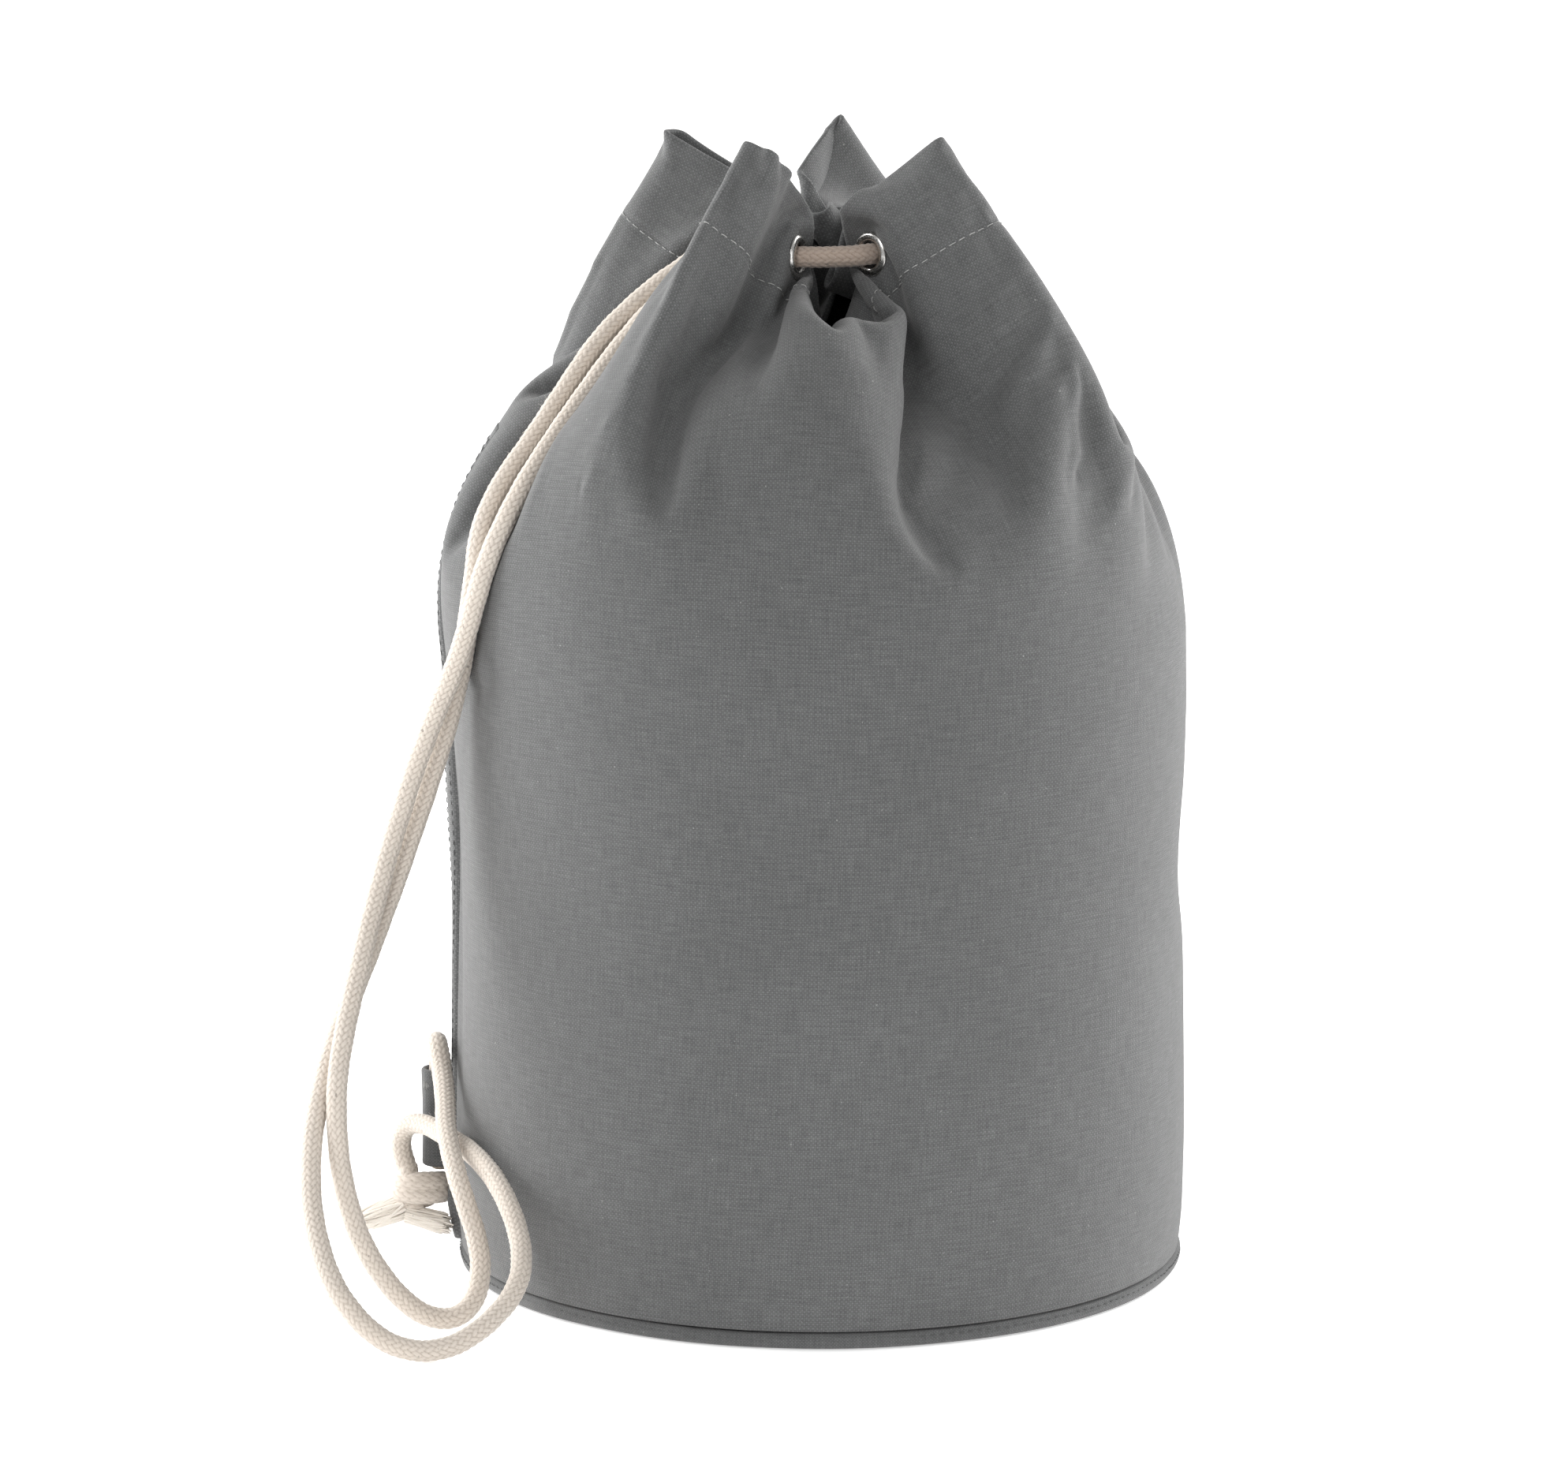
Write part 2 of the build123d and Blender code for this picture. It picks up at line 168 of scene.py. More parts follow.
# how the folds' edges and rims lie, as (flat u, flat v, x, z) seen from the front
PULLS = [
    (122, 450, 46.4, 433.3, 1.0), (122, 431, 54.8, 417.8, 0.7), (122, 412, 63.3, 402.3, 0.7), (122, 391, 76.2, 384.1, 0.7),
    (122, 368, 86.8, 366.1, 0.6), (122, 348, 97.1, 348.0, 0.4),
    (782, 450, -23.4, 431.8, 1.0), (782, 431, -33.6, 416.3, 0.7), (782, 412, -43.7, 400.8, 0.7), (782, 391, -53.9, 384.1, 0.7),
    (782, 368, -63.5, 364.0, 0.6), (782, 345, -72.0, 345.0, 0.6), (782, 326, -80.0, 328.0, 0.5), (782, 307, -87.1, 311.8, 0.4),
    (566, 450, -60.9, 436.8, 1.0), (556, 450, -51.3, 437.4, 0.9), (562, 412, -75.3, 407.4, 0.7), (562, 391, -87.9, 384.1, 0.7),
    (562, 368, -96.7, 366.1, 0.5), (562, 348, -104.0, 348.0, 0.4), (595, 450, -30.0, 422.9, 0.3),
    (342, 450, 7.4, 444.0, 0.9), (342, 431, 14.5, 427.5, 0.8), (342, 418, 20.0, 415.0, 0.7), (342, 400, 28.0, 399.0, 0.5),
    (325, 450, 0.5, 430.0, 0.6), (306, 450, -7.5, 416.5, 0.7), (355, 450, 1.5, 440.0, 0.5), (378, 450, -9.5, 419.0, 0.5),
    (92, 450, 20.6, 414.8, 0.6), (67, 450, 8.1, 403.5, 0.6),
    (789, 450, -20.4, 429.8, 0.4), (797, 450, -17.2, 426.3, 0.35),
    (811, 450, -12.1, 419.3, 0.5), (823, 450, -7.2, 412.5, 0.4), (835, 450, -3.2, 403.5, 0.6),
    (-30, 399, -11.5, 369.5, 0.8), (-14, 398, -3.1, 365.5, 0.7), (2, 397, 6.5, 362.5, 0.7), (22, 396, 22.0, 363.0, 0.7),
    (37, 393, 32.7, 365.5, 0.9), (36, 381, 29.8, 354.0, 0.8), (35.5, 371, 28.3, 345.0, 0.8), (35, 341, 28.4, 317.9, 0.6),
    (34, 310, 28.5, 289.0, 0.4),
    (262, 450, 0.4, 413.9, 0.6), (244, 450, 10.2, 406.8, 0.5), (276, 450, -4.4, 410.7, 0.5), (256, 414, 3.5, 402.5, 0.4),
    (774, 450, -23.6, 431.0, 0.6), (774, 431, -33.4, 415.6, 0.5), (774, 412, -43.2, 400.2, 0.4),
    (-36, 411, -10.6, 377.0, 0.6), (-29, 408, -10.0, 373.5, 0.6), (-23, 415, -7.5, 377.0, 0.5),
    (-20, 407, -7.0, 366.0, 0.35), (-6, 407, 0.5, 363.0, 0.35), (10, 406, 12.0, 361.5, 0.35),
    (82, 388, 41.7, 357.1, 0.5), (97, 348, 67.0, 337.0, 0.35), (112, 309, 89.0, 307.0, 0.25),
    (-48, 404, -15.1, 366.1, 0.4), (-62, 380, -33.0, 348.0, 0.4), (-77, 358, -56.0, 340.5, 0.5), (-83, 350, -64.5, 334.5, 0.5),
]
# soft lines pressed in or drawn out: (flat u, flat v, distance outwards, reach)
PRESS = [(-62, 384, -0.35, 8.0), (-73, 369, -0.4, 8.0), (-82, 357, -0.45, 8.0),
         (0, 386, 0.3, 12.0), (-14, 384, 0.2, 12.0), (-12, 364, 0.12, 32.0), (-42, 350, 0.15, 34.0), (-31, 411, -0.8, 8.0), (-24, 405, -0.3, 7.0),
         (35, 385, 0.30, 6.0), (35, 372, 0.28, 6.0), (35, 358, 0.25, 6.0), (35, 344, 0.2, 6.0), (34, 328, 0.14, 6.0),
         (50, 384, -0.45, 11.0), (60, 372, -0.4, 13.0), (72, 355, -0.25, 15.0), (84, 335, -0.15, 15.0),
         (-22, 415, -0.5, 9.0), (-5, 417, -0.4, 10.0), (12, 417, -0.4, 10.0), (28, 414, -0.25, 8.0)]


def az_u(u):
    return -90.0 + u / CIRC * 360.0


def eyelet_frame(k):
    """centre on the cloth's outer face, outward normal, direction of the fold"""
    u, i, s = EYES[k]
    az = math.radians(FOLD_AZ[i][1])
    a = np.array([math.cos(az), math.sin(az), 0.0])
    p = np.array([-math.sin(az) * s, math.cos(az) * s, 0.0])
    along = math.sqrt(EYE_R ** 2 - (FIN_W - 1.0) ** 2)
    c = a * along + p * (FIN_W - 1.0)
    here = math.atan2(c[1], c[0])
    t = ((math.degrees(here) - RING_A0) % 360.0) / ((RING_A1 - RING_A0) % 360.0)
    n = np.array([-math.sin(here) * s, math.cos(here) * s, 0.0])
    return c + n + np.array([0, 0, Z0 + (Z1 - Z0) * t]), n, a


def along_table(pts, s):
    pts = np.asarray(pts, float)
    d = np.r_[0, np.cumsum(np.linalg.norm(np.diff(pts, axis=0), axis=1))]
    s = np.asarray(s) * (d[-1] / VTOT)
    return np.stack([np.interp(s, d, pts[:, k]) for k in range(pts.shape[1])], -1)


def guide_lines():
    body = [(138.5, 7.0), (140.3, 20.0), (140.7, 50.0), (140.0, 90.0), (139.5, 130.0), (139.2, 180.0),
            (139.8, 220.0), (139.5, 250.0), (139.2, 257.0)]
    tip = [(137, 275), (132.5, 294), (126.5, 312), (119, 330), (110.5, 348), (100.5, 366), (88.5, 384), (75, 402)]
    ends = [(57.0, 435.0), (58.0, 441.0), (63.0, 437.0), (58.0, 436.0)]
    out = [(FOLD_U[i], "T", i, np.array(body + tip + [ends[i]], float)) for i in range(4)]
    eye = body + [(134.5, 275), (128, 294), (118, 312), (102, 330), (82, 348), (60, 366)]
    for k, (u, i, s) in EYES.items():
        c, n, a = eyelet_frame(k)
        r = math.hypot(c[0] - n[0], c[1] - n[1])
        out.append((u, "E", k, np.array(eye + [(r, c[2]), (r - 12.0, c[2] + 16.0)], float)))
    valley = body + [(134.0, 275), (126.5, 294), (114, 312), (97, 330), (76, 348), (55, 362), (35, 368), (15, 368), (4, 362)]
    out += [(u, "V", j, np.array(valley, float)) for j, u in enumerate(VALLEY_U)]
    return sorted(out, key=lambda t: t[0])


def fold_az(i, z, r=30.0):
    a0, a1 = FOLD_AZ[i]
    t = np.clip((z - 262.0) / (388.0 - 262.0), 0, 1)
    az = a0 + (a1 - a0) * t * t * (3 - 2 * t)
    if i == 1:
        # the fold at the back leans to one side, away from the ring
        az = az - 24.0 * t * np.clip((r - 28.0) / 40.0, 0, 1) * np.clip((470.0 - z) / 50.0, 0.5, 1)
    return az


def valley_az(j, z):
    a0, a1 = fold_az((j + 3) % 4, z), fold_az(j, z)
    return a0 + ((a1 - a0) % 360.0) / 2


def guide_points(line, v):
    u, kind, idx, tab = line
    P = along_table(tab, v)
    r, z = P[..., 0], P[..., 1]
    base = az_u(u)
    turn = lambda a: (a - base + 180.0) % 360.0 - 180.0
    if kind == "T":
        az = base + np.clip((z - 240.0) / 40.0, 0, 1) * turn(fold_az(idx, z, r))
        if idx == 3:
            az = az + np.clip((z - 400.0) / 36.0, 0, 1) * 12.0
    elif kind == "E":
        c, n, a = eyelet_frame(idx)
        c = c - n
        t = np.clip((z - 262.0) / (c[2] - 262.0), 0, 1)
        az = base + turn(math.degrees(math.atan2(c[1], c[0]))) * t * t * (3 - 2 * t)
    else:
        az = base + np.clip((z - 240.0) / 60.0, 0, 1) * turn(valley_az(idx, z))
    a = np.radians(az)
    return np.stack([r * np.cos(a), r * np.sin(a), z], -1)


def first_shape(nu, nv):
    U = U0 + CIRC / nu * np.arange(nu)
    V = VTOT / (nv - 1) * np.arange(nv)
    lines = guide_lines()
    pts = [guide_points(g, V) for g in lines]
    us = np.array([g[0] for g in lines])
    us = np.r_[us[-1] - CIRC, us, us[0] + CIRC]
    P = np.stack([pts[-1]] + pts + [pts[0]], 0)
    X = np.zeros((nv, nu, 3))
    for j, u in enumerate(U):
        uu = (u - us[0]) % CIRC + us[0]
        k = min(max(int(np.searchsorted(us, uu, side="right") - 1), 0), len(us) - 2)
        t = (uu - us[k]) / (us[k + 1] - us[k])
        X[:, j] = P[k] * (1 - t) + P[k + 1] * t
    r = np.interp(Z_BASE + V, PROF[:, 1], PROF[:, 0])
    az = np.radians(az_u(U))
    tube = np.stack([r[:, None] * np.cos(az), r[:, None] * np.sin(az), np.repeat((Z_BASE + V)[:, None], nu, 1)], -1)
    w = np.clip((V - 225.0) / 40.0, 0, 1)[:, None, None]
    return tube * (1 - w) + X * w


class Cloth:
    def __init__(s, nu, nv, X, ropes):
        s.nu, s.nv = nu, nv
        s.U = U0 + CIRC / nu * np.arange(nu)
        s.V = VTOT / (nv - 1) * np.arange(nv)
        s.X = X.reshape(-1, 3).copy()
        s.P = s.X.copy()
        s.du, s.dv = CIRC / nu, VTOT / (nv - 1)
        s.w = np.ones(nu * nv)
        s.w[np.repeat(s.V, nu) < (1.0 if nu < 100 else 215.0)] = 0.0
        s.idx = np.arange(nu * nv).reshape(nv, nu)
        Ug, Vg = np.meshgrid(s.U, s.V)
        s.uflat, s.vflat = Ug.ravel(), Vg.ravel()
        s.clamp()
        near = np.min(np.abs(s.off(Ug[..., None], np.array(VALLEY_U))), -1)
        loose = np.clip((Vg - 385.0) / 30.0, 0, 1) * np.clip((52.0 - near) / 20.0, 0, 1)
        s.loose = loose
        s.cons = []
        idx, roll = s.idx, lambda A, k: np.roll(A, -k, axis=1)
        hem = np.clip((Vg - 408.0) / 6.0, 0, 1)
        kc = 0.9 * (1 - 0.9 * loose)
        for c in (0, 1):
            s.link(idx[:, c::2], roll(idx, 1)[:, c::2], s.du, 1.0, kc[:, c::2])
        for c in (0, 1):
            a = idx[c:-1:2]
            s.link(a, idx[c + 1::2][:a.shape[0]], s.dv, 1.0, np.full(a.shape, 0.9))
        diag = math.hypot(s.du, s.dv)
        for c in (0, 1):
            a = idx[c:-1:2]
            b = idx[c + 1::2][:a.shape[0]]
            kd = 0.25 * (1 - 0.8 * loose)[c:-1:2]
            s.link(a, roll(b, 1), diag, 0.35, kd)
            s.link(roll(a, 1), b, diag, 0.35, kd)
        tip = np.min(np.abs(s.off(Ug[..., None], np.array(FOLD_U))), -1)
        crease = 1 - 0.9 * np.exp(-(tip / 7.0) ** 2) * np.clip((Vg - 330.0) / 40.0, 0, 1)
        bend = (0.10 + 0.15 * hem) * (1 - 0.85 * loose)
        calm = np.clip((64.0 - np.abs(s.off(Ug, -6.0))) / 22.0, 0, 1) * np.clip((402.0 - Vg) / 10.0, 0, 1) * np.clip((Vg - 280.0) / 40.0, 0, 1)
        bend = bend * (1 + 1.0 * calm * np.clip((np.abs(s.off(Ug, 35.0)) - 6.0) / 10.0, 0, 1))
        bend_u = bend * crease
        cols, rows = np.arange(nu), np.arange(nv - 2)
        for c in (0, 1):
            sel = cols[(cols // 2) % 2 == c]
            s.link(idx[:, sel], roll(idx, 2)[:, sel], 2 * s.du, 0.0, roll(bend_u, 1)[:, sel])
        for c in (0, 1):
            sel = rows[(rows // 2) % 2 == c]
            s.link(idx[sel], idx[sel + 2], 2 * s.dv, 0.0, bend[sel])
        # canvas is stiff: on the finer grids it still bends over the same length
        ridge = 1 - 0.9 * np.exp(-(s.off(Ug, 35.0) / 9.0) ** 2) * np.clip((Vg - 280.0) / 20.0, 0, 1)
        for k in (4,) if nu > 300 else ():
            wide = 1 - 0.97 * np.exp(-(tip / (0.75 * k * s.du)) ** 2) * np.clip((Vg - 310.0) / 40.0, 0, 1)
            wide = 0.05 * wide * ridge * (1 - 0.9 * loose) * np.clip((415.0 - Vg) / 20.0, 0, 1)
            for c in (0, 1):
                sel = cols[(cols // k) % 2 == c]
                s.link(idx[:, sel], roll(idx, k)[:, sel], k * s.du, 0.0, roll(wide, k // 2)[:, sel])
            rows = np.arange(nv - k)
            for c in (0, 1):
                sel = rows[(rows // k) % 2 == c]
                s.link(idx[sel], idx[sel + k], k * s.dv, 0.0, wide[sel + k // 2] * 0.8)
        # the packing inside the bag
        s.fill_z = np.array([0, 7, 20, 50, 90, 130, 180, 220, 250, 262, 275, 294, 312, 330, 345, 356, 364, 368, 500.0])
        s.fill_r = np.array([138, 138.2, 139.9, 140.3, 139.6, 139.1, 138.8, 139.4, 138.9, 137, 133, 123.5, 108, 84, 56, 30, 10, 0, 0.0])
        s.fill_m = np.clip(-np.gradient(s.fill_r, s.fill_z), 0, 4)
        s.push = np.clip((s.vflat - 225) / 30, 0, 1) * np.clip((405 - s.vflat) / 25, 0, 1)
        s.ropes = ropes
        # walls of a fold stay apart, and so do the walls of a valley
        s.walls = []
        for i in range(4):
            for sign in (-1, 1):
                d = s.off(s.uflat, FOLD_U[i]) * sign
                m = np.where((d > 0.1) & (d < 62) & (s.vflat > 300) & (s.vflat < (408 if i == 1 else 999)))[0]
                s.walls.append((m, (lambda z, r, i=i: fold_az(i, z, r)), sign, np.minimum(1.2 + 0.10 * d[m], 4.0)))
            for sign in (-1, 1):
                d = s.off(s.uflat, VALLEY_U[i]) * sign
                m = np.where((d > 0.1) & (d < 50) & (s.vflat > 300))[0]
                wide = (0.30, 8.0) if i == 0 else (0.05, 1.8)
                s.walls.append((m, (lambda z, r, i=i: valley_az(i, z)), sign, np.minimum(0.8 + wide[0] * d[m], wide[1])))
        # points drawn to where they are seen, free in depth
        P = np.array(PULLS, float)
        fu = ((P[:, 0] - U0) % CIRC) / s.du
        fv = P[:, 1] / s.dv
        j, i = np.floor(fu).astype(int) % nu, np.minimum(np.floor(fv).astype(int), nv - 2)
        a, b = fu - np.floor(fu), fv - i
        s.pull_i = np.stack([s.idx[i, j], s.idx[i, (j + 1) % nu], s.idx[i + 1, j], s.idx[i + 1, (j + 1) % nu]], 1)
        s.pull_w = np.stack([(1 - a) * (1 - b), a * (1 - b), (1 - a) * b, a * b], 1)
        s.pull_to = np.stack([P[:, 2], np.zeros(len(P)), P[:, 3]], 1)
        s.pull_k = P[:, 4]
        s.press = np.zeros(nu * nv)
        for u, v, k, reach in PRESS:
            d2 = s.off(s.uflat, u) ** 2 + (s.vflat - v) ** 2
            s.press += k * np.exp(-d2 / (2 * (reach * 0.6) ** 2))

    @staticmethod
    def off(u, c):
        return (u - c + CIRC / 2) % CIRC - CIRC / 2

    def link(s, a, b, rest, ks, kc):
        a, b = a.ravel(), b.ravel()
        kc = np.asarray(kc, float).ravel()
        wa, wb = s.w[a], s.w[b]
        ok = wa + wb > 0
        a, b, kc, wa, wb = a[ok], b[ok], kc[ok], wa[ok], wb[ok]
        s.cons.append((a, b, rest, ks, kc, (wa / (wa + wb))[:, None], (wb / (wa + wb))[:, None]))

    def clamp(s):
        """the cloth held flat between each eyelet and its washer"""
        for k, (u, i, side) in EYES.items():
            c, n, a = eyelet_frame(k)
            du, dv = s.off(s.uflat, u), s.vflat - V_EYE
            m = np.hypot(du, dv) < 9.6
            rho = math.radians(HEM_TILT) * side
            h = np.cross([0, 0, 1.0], n)
            eu = math.cos(rho) * h - math.sin(rho) * np.array([0, 0, 1.0])
            ev = math.cos(rho) * np.array([0, 0, 1.0]) + math.sin(rho) * h
            s.X[m] = (c - n * 0.7) + du[m, None] * eu + dv[m, None] * ev
            s.P[m] = s.X[m]
            s.w[m] = 0.0

    def normals(s):
        G = s.X.reshape(s.nv, s.nu, 3)
        gu = np.roll(G, -1, 1) - np.roll(G, 1, 1)
        gv = np.empty_like(G)
        gv[1:-1] = G[2:] - G[:-2]
        gv[0], gv[-1] = G[1] - G[0], G[-1] - G[-2]
        n = np.cross(gu, gv)
        return (n / (np.linalg.norm(n, axis=2)[..., None] + 1e-9)).reshape(-1, 3)

    def collide(s):
        X = s.X
        free = s.w > 0
        z = X[:, 2]
        r = np.hypot(X[:, 0], X[:, 1]) + 1e-9
        rs = np.interp(z, s.fill_z, s.fill_r)
        m = free & (r < rs) & (s.vflat < 425)
        if m.any():
            slope = np.interp(z[m], s.fill_z, s.fill_m)
            nr = 1 / np.sqrt(1 + slope ** 2)
            depth = (rs[m] - r[m]) * nr
            X[m, 0] += X[m, 0] / r[m] * depth * nr
            X[m, 1] += X[m, 1] / r[m] * depth * nr
            X[m, 2] += depth * slope * nr
        for sel, az_of, sign, gap in s.walls:
            p = X[sel]
            az = np.radians(az_of(p[:, 2], np.hypot(p[:, 0], p[:, 1])))
            t = np.stack([-np.sin(az), np.cos(az)], 1)
            a = np.stack([np.cos(az), np.sin(az)], 1)
            need = gap - (p[:, :2] * t).sum(1) * sign
            mm = (need > 0) & ((p[:, :2] * a).sum(1) > 0) & (s.w[sel] > 0)
            if mm.any():
                X[sel[mm], :2] += t[mm] * (need[mm] * sign)[:, None]
        for C, rad in s.ropes:
            q = np.where(free & (X > C.min(0) - 12).all(1) & (X < C.max(0) + 12).all(1))[0]
            if not len(q):
                continue
            D = X[q][:, None] - C[None]
            d2 = (D * D).sum(2)
            j = d2.argmin(1)
            d = np.sqrt(d2[np.arange(len(q)), j])
            mm = d < rad
            if mm.any():
                ii, near = q[mm], C[j[mm]]
                v = (X[ii] - near) / (d[mm][:, None] + 1e-9)
                inward = -near.copy()
                inward[:, 2] = 0
                inward /= np.linalg.norm(inward, axis=1)[:, None]
                inward[:, 2] = -0.6
                inward /= np.linalg.norm(inward, axis=1)[:, None]
                dot = (v * inward).sum(1)
                v = np.where((dot < 0.2)[:, None], v + inward * (0.4 - dot)[:, None], v)
                X[ii] = near + v / np.linalg.norm(v, axis=1)[:, None] * rad

    def seen(s, gain):
        at = (s.X[s.pull_i] * s.pull_w[..., None]).sum(1)
        ray = s.pull_to - EYE_POINT
        ray /= np.linalg.norm(ray, axis=1)[:, None]
        d = s.pull_to - at
        d -= (d * ray).sum(1)[:, None] * ray
        size = np.linalg.norm(d, axis=1) + 1e-9
        d *= (np.minimum(size, 4.0) / size)[:, None]
        d *= (s.pull_k * gain / (s.pull_w ** 2).sum(1))[:, None]
        w = s.pull_w[..., None] * d[:, None]
        np.add.at(s.X, s.pull_i.ravel(), w.reshape(-1, 3) * (s.w[s.pull_i.ravel()] > 0)[:, None])

    def step(s, its, damp, press, gain, g=0.02):
        old = s.X.copy()
        vel = (s.X - s.P) * damp
        sp = np.linalg.norm(vel, axis=1)
        vel *= (np.minimum(sp, 3.0) / (sp + 1e-9))[:, None]
        s.P = old
        N = s.normals()
        F = N * (press * s.push + s.press * gain)[:, None]
        F[:, 2] -= g
        s.X = s.X + (vel + F) * (s.w > 0)[:, None]
        for it in range(its):
            s.seen(gain * 0.35)
            for a, b, rest, ks, kc, fa, fb in s.cons:
                d = s.X[b] - s.X[a]
                size = np.sqrt((d * d).sum(1)) + 1e-9
                e = size - rest
                c = d * (np.where(e > 0, ks, kc) * e / size)[:, None]
                s.X[a] += c * fa
                s.X[b] -= c * fb
            s.collide()


def finer(G, wrap=True):
    """twice as fine in both directions, smoothly"""
    nv, nu = G.shape[:2]
    H = np.zeros((nv, nu * 2, 3))
    H[:, 0::2] = G
    H[:, 1::2] = (9 * (G + np.roll(G, -1, 1)) - np.roll(G, 1, 1) - np.roll(G, -2, 1)) / 16
    K = np.zeros((nv * 2 - 1, nu * 2, 3))
    K[0::2] = H
    K[1::2] = (H[:-1] + H[1:]) / 2
    K[3:-3:2] = (9 * (H[1:-2] + H[2:-1]) - H[:-3] - H[3:]) / 16
    return K


def gather_cloth(levels):
    ring, _ = resample(RING_LINE, 2.0)
    pin, _ = resample(INNER_LINE[INNER_LINE[:, 2] > 240], 3.0)
    pout, _ = resample(OUTER_LINE[OUTER_LINE[:, 2] > 240], 3.0)
    ropes = [(ring, 4.9), (pin, 4.9), (pout, 4.9)]
    C = Cloth(88, 46, first_shape(88, 46), ropes)
    plan = [(200, 6, 0.10), (80, 8, 0.05), (10, 8, 0.02)]
    for level in range(levels):
        n, its, press = plan[level]
        if level:
            X = finer(C.X.reshape(C.nv, C.nu, 3))
            C = Cloth(X.shape[1], X.shape[0], X, ropes)
        for k in range(n):
            late = k > n * 0.65
            C.step(its, 0.65 if late else (0.92 if level == 0 else 0.85), press, (min(1.0, 0.15 + k / (0.5 * n)), 1.0, 0.3)[level])
    return C


# -------------------------------------------------------------- cloth: end


# --------------------------------------------------------------- materials
class Tree:
    """a short way to write a node tree"""

    def __init__(s, name):
        s.mat = bpy.data.materials.new(name)
        s.mat.use_nodes = True
        s.t = s.mat.node_tree
        s.bsdf = s.t.nodes["Principled BSDF"]

    def put(s, kind, ins=None, **props):
        n = s.t.nodes.new(kind)
        for k, v in props.items():
            setattr(n, k, v)
        for k, v in (ins or {}).items():
            s.give(n.inputs[k], v)
        return n

    def give(s, socket, v):
        if hasattr(v, "links"):
            s.t.links.new(v, socket)
        elif isinstance(v, (tuple, list)) and len(v) == 3 and socket.type == "RGBA":
            socket.default_value = (*v, 1.0)
        else:
            socket.default_value = v

    def m(s, op, *a):
        n = s.t.nodes.new("ShaderNodeMath")
        n.operation = op
        for i, v in enumerate(a):
            s.give(n.inputs[i], v)
        return n.outputs[0]

    def xyz(s, x, y, z=0.0):
        return s.put("ShaderNodeCombineXYZ", {"X": x, "Y": y, "Z": z}).outputs[0]

    def noise(s, vec, scale, detail=2.0, rough=0.5):
        return s.put("ShaderNodeTexNoise", {"Vector": vec, "Scale": scale, "Detail": detail, "Roughness": rough}).outputs[0]

    def span(s, v, a, b, c, d):
        return s.put("ShaderNodeMapRange", {"Value": v, "From Min": a, "From Max": b, "To Min": c, "To Max": d}).outputs[0]

    def mix(s, f, a, b, kind="MIX"):
        n = s.t.nodes.new("ShaderNodeMix")
        n.data_type = "RGBA"
        n.blend_type = kind
        s.give(n.inputs[0], f)
        s.give(n.inputs[6], a)
        s.give(n.inputs[7], b)
        return n.outputs[2]

    def uv(s):
        n = s.put("ShaderNodeUVMap", uv_map="UVMap")
        x = s.put("ShaderNodeSeparateXYZ", {"Vector": n.outputs[0]})
        return x.outputs[0], x.outputs[1]

    def bump(s, h, strength, dist, normal=None):
        ins = {"Height": h, "Strength": strength, "Distance": dist}
        if normal is not None:
            ins["Normal"] = normal
        return s.put("ShaderNodeBump", ins).outputs[0]


